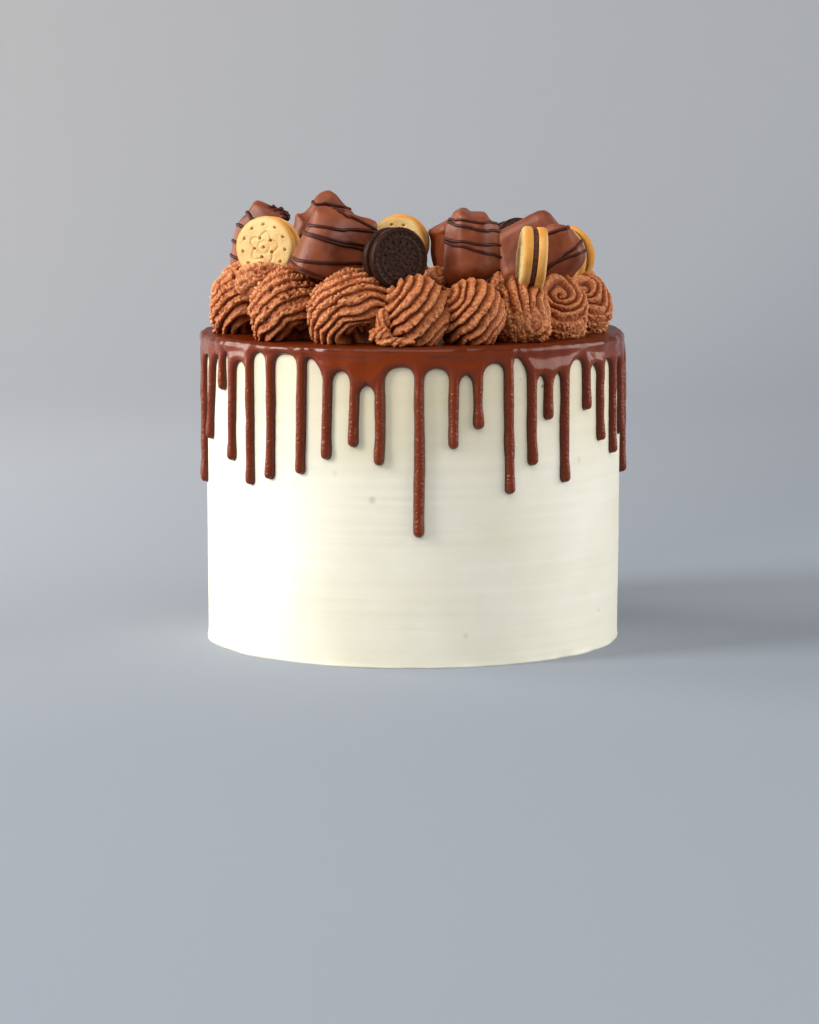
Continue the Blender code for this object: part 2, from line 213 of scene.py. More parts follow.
# Dark biscuits: rounding of the rim, height of the raised rings, and how far in the filling ends
DARK_ROUNDING = 0.9
DARK_RING_HEIGHT = 0.25
DARK_CREAM_INSET = 1.7

# Dark wafer's raised studs: count, ring radius, height above the wafer's middle, length
# outwards, width and height, and phase in degrees
DARK_STUDS = (
    (60, 11.1, 0.35, 0.6, 0.3, 0.9, 0),
    (30, 9.3, 1.45, 0.8, 0.5, 0.6, 0),
    (14, 6.5, 1.45, 1.2, 0.65, 0.68, 6),
    (14, 4.6, 1.45, 0.5, 0.5, 0.55, 19),
    (8, 2.8, 1.45, 1.0, 0.5, 0.62, 0),
    (5, 0.9, 1.45, 0.5, 0.4, 0.5, 0),
)

# Chocolate pieces, the size of the grid that softens their edges, and how uneven they are
CHOCOLATES = (
    "chocolate_tall", "chocolate_front", "chocolate_corner", "chocolate_right",
    "chocolate_left", "chocolate_back_left", "chocolate_back_middle",
)
CHOCOLATE_GRID = 0.6
CHOCOLATE_UNEVENNESS = 0.35

# Drizzle: radius of the rings that drop onto a piece, and how much they waver
DRIZZLE_RING = 30
DRIZZLE_WAVER = 2.5

# Camera: how far in front of the cake's axis, how high and how far to the right, in metres,
# and its downward pitch. The lens is in millimetres for a 36 mm tall picture.
CAMERA_DISTANCE = 1.31532
CAMERA_HEIGHT = 0.225733
CAMERA_SIDE = -0.00133
CAMERA_PITCH = 0.134705
CAMERA_LENS = 119.8

# Studio floor, in metres: how far it lies flat to the front and the back, the radius of its
# sweep up, the top of the wall behind, and half its width
FLOOR_FRONT = 4.0
FLOOR_BACK = 0.9
SWEEP_RADIUS = 1.5
WALL_HEIGHT = 4.0
FLOOR_HALF_WIDTH = 5.0

# Lights: azimuth, elevation, distance, width and height in metres, power in watts and colour.
# They face the cake at a height that is in metres too, and walls all round add a dim light.
LIGHTS = {
    "near window": (-68, 26, 2.0, 0.6, 1.3, 38, "#fffcf5"),
    "far window": (-106, 16, 2.0, 1.0, 1.4, 30, "#fff9f0"),
    "ceiling": (-4, 58, 2.2, 2.2, 2.0, 25, "#fffcf4"),
    "right wall": (88, 13, 2.3, 2.8, 1.8, 54, "#fffefb"),
}
LIT_HEIGHT = 0.09
WALL_COLOUR = "#e9dfcf"
WALL_STRENGTH = 0.3


# Numbers and meshes

def lattice(cells, seed):
    """A fixed random number from -1 to 1 for each cell of a whole-numbered grid."""
    mixed = cells[..., 0] * 73856093 ^ cells[..., 1] * 19349663
    mixed = mixed ^ cells[..., 2] * 83492791 ^ seed * 40503
    mixed = (mixed ^ (mixed >> 13)) * 1274126177 & 0xFFFFFFFF
    return ((mixed ^ (mixed >> 15)) & 0xFFFF) / 32767.5 - 1


def noise(places, size, seed):
    """Smooth noise from -1 to 1 whose lumps have a given size, one number or one per axis.
    Each use has a seed of its own."""
    scaled = places / np.asarray(size, float)
    base = np.floor(scaled).astype(np.int64)
    part = scaled - base
    part = part ** 3 * (part * (part * 6 - 15) + 10)
    total = np.zeros(places.shape[:-1])
    for corner in itertools.product((0, 1), repeat=3):
        weight = np.prod(np.where(corner, part, 1 - part), axis=-1)
        total += weight * lattice(base + np.array(corner), seed)
    return total


def step_up(values, low, high):
    """0 below low and 1 above high, with a smooth rise between them."""
    share = np.clip((values - low) / (high - low), 0, 1)
    return share * share * (3 - 2 * share)


def make_object(name, points, faces, material, attributes=None):
    """An object from points in millimetres, shaded smooth, with one number per point for
    each attribute."""
    mesh = bpy.data.meshes.new(name)
    mesh.from_pydata((points * MM).tolist(), [], faces)
    for label, values in (attributes or {}).items():
        layer = mesh.attributes.new(label, "FLOAT", "POINT")
        layer.data.foreach_set("value", np.asarray(values, np.float32).ravel())
    mesh.shade_smooth()
    mesh.materials.append(material)
    piece = bpy.data.objects.new(name, mesh)
    bpy.context.scene.collection.objects.link(piece)
    return piece


def ring_faces(rings, columns):
    """Quads between closed rings of points that follow one another."""
    row = np.arange(rings - 1)[:, None] * columns
    column = np.arange(columns)[None, :]
    after = (column + 1) % columns
    quads = (row + column, row + after, row + columns + after, row + columns + column)
    return np.stack(np.broadcast_arrays(*quads), -1).reshape(-1, 4).tolist()


def closed_rings(points):
    """Points and faces of a closed shell through rings of points, a pole at each end."""
    rings, columns, _ = points.shape
    faces = ring_faces(rings, columns)
    first, last = rings * columns, rings * columns + 1
    top = (rings - 1) * columns
    for column in range(columns):
        after = (column + 1) % columns
        faces.append((after, column, first))
        faces.append((top + column, top + after, last))
    poles = np.stack((points[0].mean(0), points[-1].mean(0)))
    return np.concatenate((points.reshape(-1, 3), poles)), faces


def on_cylinder(angle, radius, height):
    """Points at azimuths in radians."""
    height = np.broadcast_to(height, np.broadcast_shapes(np.shape(angle), np.shape(radius)))
    return np.stack((np.sin(angle) * radius, -np.cos(angle) * radius, height), -1)


def keep_piece(piece, slot, *nodes):
    """The piece goes with the cake and stands for these solids."""
    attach(piece, BODY)
    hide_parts(*nodes)
    return piece


# Node trees

# Middle value of a noise texture's colour
HALF_GREY = (0.5, 0.5, 0.5)


def add_node(tree, kind, links=None, output=0, **settings):
    """Add a node, apply its settings, feed its inputs with sockets or values, and return
    one of its outputs."""
    node = tree.nodes.new(kind)
    for label, value in settings.items():
        setattr(node, label, value)
    for label, value in (links or {}).items():
        if isinstance(value, bpy.types.NodeSocket):
            tree.links.new(value, node.inputs[label])
        else:
            node.inputs[label].default_value = value
    return node.outputs[output] if len(node.outputs) else node


def new_geometry_tree(name, sockets):
    """A geometry tree with named inputs, and its group input node."""
    tree = bpy.data.node_groups.new(name, "GeometryNodeTree")
    for label, kind in sockets:
        tree.interface.new_socket(label, in_out="INPUT", socket_type="NodeSocket" + kind)
    tree.interface.new_socket("Geometry", in_out="OUTPUT", socket_type="NodeSocketGeometry")
    return tree, tree.nodes.new("NodeGroupInput")


def finish_tree(tree, geometry, material):
    """End a geometry tree in real, smooth shaded geometry with one material."""
    real = add_node(tree, "GeometryNodeRealizeInstances", {"Geometry": geometry})
    smooth = add_node(tree, "GeometryNodeSetShadeSmooth", {"Geometry": real})
    done = add_node(tree, "GeometryNodeSetMaterial", {"Geometry": smooth, "Material": material})
    add_node(tree, "NodeGroupOutput", {"Geometry": done})


def add_tree(piece, tree, values):
    """Put a geometry tree on a piece, its inputs set by their identifiers."""
    modifier = piece.modifiers.new(tree.name, "NODES")
    modifier.node_group = tree
    for item in tree.interface.items_tree:
        if item.in_out == "INPUT" and item.name in values:
            modifier[item.identifier] = values[item.name]


def apply_modifiers(piece):
    """Make what a piece's modifiers show its own plain mesh."""
    bpy.context.view_layer.update()
    shown = piece.evaluated_get(bpy.context.evaluated_depsgraph_get())
    mesh = bpy.data.meshes.new_from_object(shown)
    piece.modifiers.clear()
    piece.data = mesh
    mesh.name = piece.name


# Materials

def linear(code):
    """Linear colour of an sRGB hex code."""
    channels = []
    for start in (1, 3, 5):
        value = int(code[start:start + 2], 16) / 255
        channels.append(value / 12.92 if value <= 0.04045 else ((value + 0.055) / 1.055) ** 2.4)
    return (*channels, 1)


def new_material(name, values):
    """A material, its tree, its shader with values on its own sockets, and the place on the
    cake that its patterns follow."""
    material = bpy.data.materials.new(name)
    material.use_nodes = True
    tree = material.node_tree
    shader = tree.nodes["Principled BSDF"]
    for label, value in values.items():
        shader.inputs[label].default_value = value
    place = add_node(tree, "ShaderNodeTexCoord", output="Object")
    return material, tree, shader, place


def per_metre(size):
    """Scale of a pattern whose lumps have a size in millimetres."""
    return 1 / (size * MM)


def set_stops(ramp, *stops):
    """Set the positions and sRGB colours along a colour ramp."""
    elements = ramp.node.color_ramp.elements
    while len(elements) < len(stops):
        elements.new(0.5)
    for element, (position, code) in zip(elements, stops):
        element.position = position
        element.color = linear(code)


def finish_surface(tree, shader, colour, relief, strength, height):
    """Give a shader its colour, and a fine relief with its height in millimetres."""
    tree.links.new(colour, shader.inputs["Base Color"])
    bumps = add_node(tree, "ShaderNodeBump", {
        "Height": relief, "Strength": strength, "Distance": height * MM,
    })
    tree.links.new(bumps, shader.inputs["Normal"])


# Crumbs and smudges in the icing: azimuth, height, radius, colour and strength
ICING_SPECKS = (
    (36.7, 103.0, 0.9, "#8a5a35", 0.85),
    (29.5, 106.0, 0.7, "#a8a68c", 0.5),
    (-10.8, 62.5, 1.9, "#b9b8a4", 0.6),
    (-21.0, 72.0, 1.5, "#c9c8b4", 0.4),
    (51.0, 74.0, 1.8, "#cfcdba", 0.5),
    (14.0, 12.0, 1.3, "#cbc8b0", 0.5),
    (-38.0, 7.0, 1.6, "#cfccb5", 0.4),
    (62.0, 15.0, 1.2, "#c4bfa2", 0.5),
    (140.0, 55.0, 1.4, "#c3bfa6", 0.5),
    (-150.0, 83.0, 0.8, "#8f6340", 0.7),
    (178.0, 21.0, 1.5, "#c9c6b0", 0.5),
)


def vanilla_buttercream():
    """Vanilla buttercream, scraped smooth: satin, ivory, with faint level scraper streaks,
    a little mottling, a warm tint over the height of the drips that is painted warm shade
    from the chocolate beside them, and a few cake crumbs caught in it."""
    material, tree, shader, place = new_material("scraped vanilla buttercream", {
        "Roughness": 0.5, "IOR": 1.45, "Subsurface Weight": 0.12, "Subsurface Scale": 2 * MM,
    })
    # Streaks are 125 mm long and 2.4 mm high
    room = add_node(tree, "ShaderNodeMapping", {
        "Vector": place, "Scale": (per_metre(125), per_metre(125), per_metre(2.38)),
    })
    streaks = add_node(tree, "ShaderNodeTexNoise", {"Vector": room, "Scale": 1.0, "Detail": 3})
    clouds = add_node(tree, "ShaderNodeTexNoise", {
        "Vector": place, "Scale": per_metre(36), "Detail": 3,
    })
    mixed = add_node(tree, "ShaderNodeMath", {0: streaks, 1: 0.35, 2: clouds}, operation="MULTIPLY_ADD")
    colour = add_node(tree, "ShaderNodeValToRGB", {"Fac": mixed})
    set_stops(colour, (0.45, "#e8e5d1"), (0.9, "#f3f1e5"))

    # Painted warm shade: the tint grows over the height of the drips' ends
    height = add_node(tree, "ShaderNodeSeparateXYZ", {0: place}, output="Z")
    painted_warm_shade = add_node(tree, "ShaderNodeMapRange", {
        "Value": height, "From Min": 70 * MM, "From Max": 98 * MM,
    })
    colour = add_node(tree, "ShaderNodeMix", {
        0: painted_warm_shade, 6: colour, 7: linear("#f8f1e4"),
    }, output=2, data_type="RGBA", blend_type="MULTIPLY")
    for azimuth, level, size, code, strength in ICING_SPECKS:
        spot = tuple(on_cylinder(math.radians(azimuth), CAKE_RADIUS, level) * MM)
        far = add_node(tree, "ShaderNodeVectorMath", {0: place, 1: spot}, output=1, operation="DISTANCE")
        amount = add_node(tree, "ShaderNodeMapRange", {
            "Value": far, "From Min": 0.2 * size * MM, "From Max": size * MM,
            "To Min": strength, "To Max": 0.0,
        })
        colour = add_node(tree, "ShaderNodeMix", {
            0: amount, 6: colour, 7: linear(code),
        }, output=2, data_type="RGBA")
    finish_surface(tree, shader, colour, streaks, 0.25, 0.2)
    return material


def poured_ganache():
    """Dark chocolate ganache, poured and set: glossy, darker towards its thin rounded edges and
    redder where it is at full thickness, and darker on top as painted shade from the swirls that
    stand on it. It is softer on the drips, where fine bubbles break up its highlights, and dull
    on top, where it dried."""
    material, tree, shader, place = new_material("poured ganache", {
        "IOR": 1.4, "Subsurface Weight": 0.1, "Subsurface Radius": (1.0, 0.35, 0.15),
        "Subsurface Scale": 1.5 * MM,
    })
    # Depth darkens the colour towards the thin rounded edges, and on the top as painted shade
    depth = add_node(tree, "ShaderNodeAttribute", output="Fac", attribute_name="depth")
    clouds = add_node(tree, "ShaderNodeTexNoise", {
        "Vector": place, "Scale": per_metre(11.1), "Detail": 2,
    })
    mixed = add_node(tree, "ShaderNodeMath", {0: clouds, 1: 0.35, 2: depth}, operation="MULTIPLY_ADD")
    colour = add_node(tree, "ShaderNodeValToRGB", {"Fac": mixed})
    set_stops(colour, (0.2, "#481605"), (1.0, "#762c0a"))

    # Gloss grows from the drips up to the side wall, and goes where the surface turns upwards
    height = add_node(tree, "ShaderNodeSeparateXYZ", {0: place}, output="Z")
    soft = add_node(tree, "ShaderNodeMapRange", {
        "Value": height, "From Min": 95 * MM, "From Max": 112 * MM, "To Min": 0.28, "To Max": 0.18,
    })
    facing = add_node(tree, "ShaderNodeTexCoord", output="Normal")
    upward = add_node(tree, "ShaderNodeSeparateXYZ", {0: facing}, output="Z")
    for socket, side, top in (("Roughness", soft, 0.36), ("Specular IOR Level", 0.5, 0.1)):
        dulled = add_node(tree, "ShaderNodeMapRange", {
            "Value": upward, "From Min": 0.5, "From Max": 0.85, "To Min": side, "To Max": top,
        })
        tree.links.new(dulled, shader.inputs[socket])

    # Real bubbles are about 0.2 mm wide, too fine to show, and so are drawn 1 mm wide
    bubbles = add_node(tree, "ShaderNodeTexNoise", {
        "Vector": place, "Scale": per_metre(1.0), "Detail": 1,
    })
    frothy = add_node(tree, "ShaderNodeMapRange", {
        "Value": height, "From Min": 100 * MM, "From Max": 110 * MM, "To Min": 1.0, "To Max": 0.12,
    })
    bubbles = add_node(tree, "ShaderNodeMath", {0: bubbles, 1: frothy}, operation="MULTIPLY")
    waves = add_node(tree, "ShaderNodeTexNoise", {
        "Vector": place, "Scale": per_metre(6.25), "Detail": 1,
    })
    relief = add_node(tree, "ShaderNodeMath", {0: waves, 1: 0.25, 2: bubbles}, operation="MULTIPLY_ADD")
    finish_surface(tree, shader, colour, relief, 0.6, 0.7)
    return material


def chocolate_buttercream():
    """Chocolate buttercream, whipped and piped: matt, warm brown, with painted highlight that
    makes its crests and torn bits paler and painted shade that makes its folds deep red brown."""
    material, tree, shader, place = new_material("piped chocolate buttercream", {
        "Roughness": 0.62, "IOR": 1.45, "Subsurface Weight": 0.2, "Subsurface Scale": 1.6 * MM,
    })
    # The crest attribute carries painted highlight on crests and painted shade in the grooves
    crest = add_node(tree, "ShaderNodeAttribute", output="Fac", attribute_name="crest")
    # Whipped grains of about 0.3 mm are drawn 0.8 mm wide, to show
    flecks = add_node(tree, "ShaderNodeTexNoise", {
        "Vector": place, "Scale": per_metre(0.833), "Detail": 4, "Roughness": 0.65,
    })
    crest = add_node(tree, "ShaderNodeMath", {0: crest, 1: 0.5}, operation="MULTIPLY")
    mixed = add_node(tree, "ShaderNodeMath", {0: flecks, 1: 0.75, 2: crest}, operation="MULTIPLY_ADD")
    colour = add_node(tree, "ShaderNodeValToRGB", {"Fac": mixed})
    set_stops(colour, (0.35, "#662b0f"), (0.74, "#a65728"), (1.0, "#db9865"))
    finish_surface(tree, shader, colour, flecks, 0.7, 0.6)
    return material


def golden_biscuit():
    """Shortcake biscuit, cut and baked: matt, pale straw face, golden brown where the heat
    reached its rim, darker in its pressed holes and groove, with an open sandy crumb."""
    material, tree, shader, place = new_material("baked golden biscuit", {
        "Roughness": 0.8, "IOR": 1.45,
    })
    bake = add_node(tree, "ShaderNodeAttribute", output="Fac", attribute_name="bake")
    patches = add_node(tree, "ShaderNodeTexNoise", {
        "Vector": place, "Scale": per_metre(3.85), "Detail": 4,
    })
    mixed = add_node(tree, "ShaderNodeMath", {0: patches, 1: 0.45, 2: bake}, operation="MULTIPLY_ADD")
    colour = add_node(tree, "ShaderNodeValToRGB", {"Fac": mixed})
    set_stops(colour, (0.15, "#e6cb8f"), (1.0, "#cf8a2e"))
    # Sandy crumb of about 0.3 mm is drawn 0.7 mm wide, to show
    crumb = add_node(tree, "ShaderNodeTexNoise", {
        "Vector": place, "Scale": per_metre(0.714), "Detail": 3,
    })
    finish_surface(tree, shader, colour, crumb, 0.4, 0.2)
    return material


def grainy_food(name, roughness, ior, stops, size, detail, strength):
    """A food whose one grain sets both its colour, between two stops, and its relief."""
    material, tree, shader, place = new_material(name, {"Roughness": roughness, "IOR": ior})
    grain = add_node(tree, "ShaderNodeTexNoise", {
        "Vector": place, "Scale": per_metre(size), "Detail": detail,
    })
    colour = add_node(tree, "ShaderNodeValToRGB", {"Fac": grain})
    set_stops(colour, *stops)
    finish_surface(tree, shader, colour, grain, strength, 0.2)
    return material


def dark_biscuit():
    """Dark cocoa biscuit, stamped and baked: nearly black, dry, with a faint waxy shine on
    its raised parts and a sandy crumb of about 0.3 mm, drawn 1.1 mm wide to show."""
    return grainy_food(
        "stamped cocoa biscuit", 0.4, 1.2, ((0.3, "#190b06"), (0.75, "#432418")), 1.11, 4, 0.45
    )


def biscuit_filling(name, low, high):
    """Biscuit filling, pressed flat between the wafers: soft and slightly grainy, its sugar
    drawn 1.2 mm wide to show."""
    return grainy_food(name, 0.6, 1.45, ((0.3, low), (0.7, high)), 1.25, 3, 0.4)


def milk_chocolate():
    """Milk chocolate, enrobed and set: satin, mid brown, with slow cloudy changes of shine
    where it cooled unevenly."""
    material, tree, shader, place = new_material("enrobed milk chocolate", {"IOR": 1.42})
    clouds = add_node(tree, "ShaderNodeTexNoise", {
        "Vector": place, "Scale": per_metre(8.33), "Detail": 2,
    })
    colour = add_node(tree, "ShaderNodeValToRGB", {"Fac": clouds})
    set_stops(colour, (0.3, "#682b13"), (0.75, "#8f4a2a"))
    dullness = add_node(tree, "ShaderNodeMapRange", {"Value": clouds, "To Min": 0.36, "To Max": 0.52})
    tree.links.new(dullness, shader.inputs["Roughness"])
    ripples = add_node(tree, "ShaderNodeTexNoise", {
        "Vector": place, "Scale": per_metre(2.38), "Detail": 2,
    })
    finish_surface(tree, shader, colour, ripples, 0.12, 0.2)
    return material


def drizzled_chocolate():
    """Dark chocolate, drizzled in threads: a soft shine, nearly black, with faint clouds of
    about 2 mm."""
    material, tree, shader, place = new_material("drizzled dark chocolate", {
        "Roughness": 0.42, "IOR": 1.3,
    })
    clouds = add_node(tree, "ShaderNodeTexNoise", {
        "Vector": place, "Scale": per_metre(2.0), "Detail": 2,
    })
    colour = add_node(tree, "ShaderNodeValToRGB", {"Fac": clouds})
    set_stops(colour, (0.3, "#36120a"), (0.8, "#4d2014"))
    tree.links.new(colour, shader.inputs["Base Color"])
    return material


# Iced cake

def icing_radius(angle, height):
    """Radius of the scraped icing, in millimetres: slow waves, level scraper marks and an
    uneven foot."""
    place = on_cylinder(angle, CAKE_RADIUS, height)
    slow = WAVE_HEIGHT * noise(place, WAVE_LENGTH, 1)
    patch = 0.5 + 0.5 * noise(place, (30, 30, 12), 2)
    marks = MARK_DEPTH * patch * noise(place, (MARK_LENGTH, MARK_LENGTH, MARK_SPACING), 3)
    foot = np.exp(-np.maximum(place[..., 2], 0) / 1.3)
    spread = foot * (FOOT_SPREAD + FOOT_UNEVENNESS * noise(place, 7, 4))
    return CAKE_RADIUS - 0.1 + slow + marks + spread


def make_icing(material):
    """The iced cake: its foot, its scraped side, and its top, which the ganache covers."""
    angle = np.linspace(0, 2 * math.pi, ICING_COLUMNS, endpoint=False)
    heights = np.linspace(0, CAKE_HEIGHT - 1.0, ICING_ROWS)
    rings = [on_cylinder(angle, share * CAKE_RADIUS, 0.0) for share in (0.3, 0.65, 0.9)]
    for height in heights:
        rings.append(on_cylinder(angle, icing_radius(angle, height), height))
    for share in (0.985, 0.7, 0.35):
        rings.append(on_cylinder(angle, share * CAKE_RADIUS, CAKE_HEIGHT))
    points, faces = closed_rings(np.stack(rings))
    piece = make_object("icing", points, faces, material)
    keep_piece(piece, "vanilla_buttercream", "cake")


# Ganache

def all_drips():
    """Front drips as listed, and back drips spread by a seeded rule, right round."""
    drips = [tuple(drip) for drip in FRONT_DRIPS]
    rng = random.Random(DRIP_SEED)
    start = FRONT_DRIPS[-1][0]
    step = (360 + FRONT_DRIPS[0][0] - start) / (BACK_DRIPS + 1)
    for index in range(BACK_DRIPS):
        azimuth = start + step * (index + 1 + rng.uniform(-0.18, 0.18))
        length = rng.choice((27, 33, 38, 43, 47, 52, 58)) + rng.uniform(-2, 2)
        arch = rng.uniform(5, 11)
        drips.append((azimuth, length, arch, arch, 0))
    return drips


def wrapped(distance):
    """Distance along the side, made the shorter way round."""
    whole = 2 * math.pi * CAKE_RADIUS
    return (distance + 0.5 * whole) % whole - 0.5 * whole


def arch_line(along, drips):
    """Height of the side wall's lower edge at places along the side."""
    turn = math.radians(1) * CAKE_RADIUS
    knots = []
    for index, (azimuth, _, left, right, _) in enumerate(drips):
        after = drips[(index + 1) % len(drips)][0]
        span = (after - azimuth) % 360
        knots.append((azimuth * turn + DRIP_HALF_WIDTH, GANACHE_TOP - left))
        knots.append(((azimuth + span) * turn - DRIP_HALF_WIDTH, GANACHE_TOP - right))
    knots.sort()
    places, heights = zip(*knots)
    return np.interp(along, places, heights, period=2 * math.pi * CAKE_RADIUS)


def drip_distance(along, height, drips):
    """How far inside the nearest drip each place on the side is, and how close it is to that
    drip's end, from 0 to 1."""
    best = np.full(np.shape(along), -99.0)
    swell = np.zeros(np.shape(along))
    for index, (azimuth, length, _, _, lean) in enumerate(drips):
        middle = math.radians(azimuth) * CAKE_RADIUS
        near = np.abs(wrapped(along - middle)) < DRIP_ROOM
        if not near.any():
            continue
        level = height[near]
        end = GANACHE_TOP - length
        share = np.clip((GANACHE_TOP - level) / length, 0, 1)

        # It wavers more towards its end, where it swells to a drop, and is narrowest above that
        line = np.stack((np.full(level.shape, 31.7 * index), level, level * 0), -1)
        wobble = DRIP_WAVER * noise(line, 11, 5) * share
        offset = wrapped(along[near] - middle) - lean * (share - 0.5) - wobble
        closeness = step_up(level, end + 9, end + 3)
        waist = step_up(level, end + 22, end + 10) * (1 - closeness)
        half = DRIP_HALF_WIDTH * (1 + 0.05 * closeness - 0.04 * waist + 0.08 * noise(line, 7.5, 6))
        below = np.minimum(level - (end + half), 0)
        inside = half - np.hypot(offset, below)
        better = inside > best[near]
        best[near] = np.where(better, inside, best[near])
        swell[near] = np.where(better, closeness, swell[near])
    return best, swell


def ganache_outline(along, height, drips):
    """How far inside the ganache's outline each place is, how free of the wall it hangs, from
    0 to 1, how far inside the nearest drip it is, and how close to that drip's end."""
    edge = arch_line(along, drips)
    wall = height - edge
    drip, swell = drip_distance(along, height, drips)
    blend = np.maximum(ARCH_FILLET - np.abs(wall - drip), 0) / ARCH_FILLET
    inside = np.maximum(wall, drip) + blend * blend * ARCH_FILLET / 4
    return inside, step_up(wall, 2.5, -4.0), drip, swell


def ganache_thickness(along, height, drips):
    """How far the ganache stands out from the icing, and how near that is to its full
    thickness, from 0 to 1. The wall has a bead below its rim, is thicker lower down, bulges
    beside each drip, and has a rolled lower edge."""
    inside, free, drip, swell = ganache_outline(along, height, drips)
    angle = along / CAKE_RADIUS
    place = on_cylinder(angle, CAKE_RADIUS, height)
    rounded = np.clip(inside / EDGE_ROUNDING, 0, 1)
    rounded = np.sqrt(1 - (1 - rounded) ** 2)
    bulge = DRIP_BULGE * step_up(drip, -4, 2.0) * (1 - free)
    roll = EDGE_ROLL * np.exp(-((inside - 2.4) / 1.3) ** 2) * (1 - free)
    uneven = WALL_UNEVENNESS * noise(place, 9, 8)
    bead = RIM_BEAD * np.exp(-((height - (GANACHE_TOP - 2.4)) / 1.6) ** 2)
    slope = WALL_SLOPE * step_up(GANACHE_TOP - height, 3.0, 11.0)
    wall = GANACHE_WALL + slope + bulge + roll + uneven + bead * (0.7 + 0.8 * noise(place, 10, 9))
    hanging = DRIP_DEPTH + (DROP_DEPTH - DRIP_DEPTH) * swell + 0.12 * noise(place, 5, 10)
    full = wall + (hanging - wall) * free
    return full * rounded, rounded


def snap_to_outline(along, height, drips):
    """Move places to the nearest point of the ganache's outline."""
    probe = 0.05
    rest_along, rest_height = along.copy(), height.copy()
    for _ in range(5):
        value = ganache_outline(along, height, drips)[0]
        slope_along = (ganache_outline(along + probe, height, drips)[0] - value) / probe
        slope_height = (ganache_outline(along, height + probe, drips)[0] - value) / probe
        steep = np.maximum(slope_along ** 2 + slope_height ** 2, 0.05)
        along = along - value * slope_along / steep
        height = height - value * slope_height / steep
        along = np.clip(along, rest_along - 0.6, rest_along + 0.6)
        height = np.clip(height, rest_height - 0.7, rest_height + 0.7)
    return along, height


def neighbours(cells):
    """The four cells round each node of a grid that closes on itself sideways."""
    above = np.vstack((np.ones((1, cells.shape[1]), bool), cells))
    below = np.vstack((cells, np.zeros((1, cells.shape[1]), bool)))
    return np.stack((above, np.roll(above, 1, 1), below, np.roll(below, 1, 1)))


def ganache_cells(along, height, drips):
    """Which cells of a grid on the side the ganache fills."""
    middles = along[:-1] + 0.5 * GANACHE_COLUMN, height[:-1] - 0.5 * GANACHE_ROW
    cells = ganache_outline(*middles, drips)[0] > 0
    for _ in range(4):
        # A node where two cells meet only corner to corner gets the cell beside them
        after = np.roll(cells, -1, 1)
        one = cells[:-1] & ~after[:-1] & ~cells[1:] & after[1:]
        two = ~cells[:-1] & after[:-1] & cells[1:] & ~after[1:]
        cells[1:] |= one
        cells[:-1] |= two
        # A cell with no corner off the outline would be a sheet without thickness
        held = neighbours(cells).all(0)
        held = held[:-1] | held[1:]
        cells &= held | np.roll(held, -1, 1)
    return cells


def fit_to_outline(along, height, border, free, drips):
    """Move a grid's border to the ganache's outline, and its free nodes some way with it."""
    shift = np.zeros((*along.shape, 2))
    snapped = snap_to_outline(along[border], height[border], drips)
    shift[border, 0] = snapped[0] - along[border]
    shift[border, 1] = snapped[1] - height[border]
    for _ in range(6):
        total = np.roll(shift, 1, 1) + np.roll(shift, -1, 1)
        total[1:] += shift[:-1]
        total[:-1] += shift[1:]
        shift[free] = 0.25 * total[free]
    return along + shift[..., 0], height + shift[..., 1]


def ganache_top(angle, wall):
    """Rings of points from the wall's top, whose radius is given, over the rim to the middle,
    with waves that fade inwards."""
    start = GANACHE_TOP - GANACHE_RIM
    rings = []
    for turn in np.radians((18, 36, 54, 72, 90)):
        rings.append((wall - GANACHE_RIM * (1 - math.cos(turn)), math.sin(turn)))
    for inset in GANACHE_INSETS:
        calm = min(inset / GANACHE_CALM, 1)
        edge = (wall - GANACHE_RIM) * (1 - calm) + GANACHE_TOP_RADIUS * calm
        rings.append((edge - inset, 1.0))
    top = []
    for radius, rise in rings:
        level = on_cylinder(angle, radius, start)
        waves = 0.28 * noise(level, (11, 11, 50), 12) + 0.14 * noise(level, (5, 5, 50), 13)
        fading = 1 - step_up(GANACHE_TOP_RADIUS - np.mean(radius), 4, 20)
        level[..., 2] = start + GANACHE_RIM * rise + rise * waves * fading
        top.append(level)
    return top


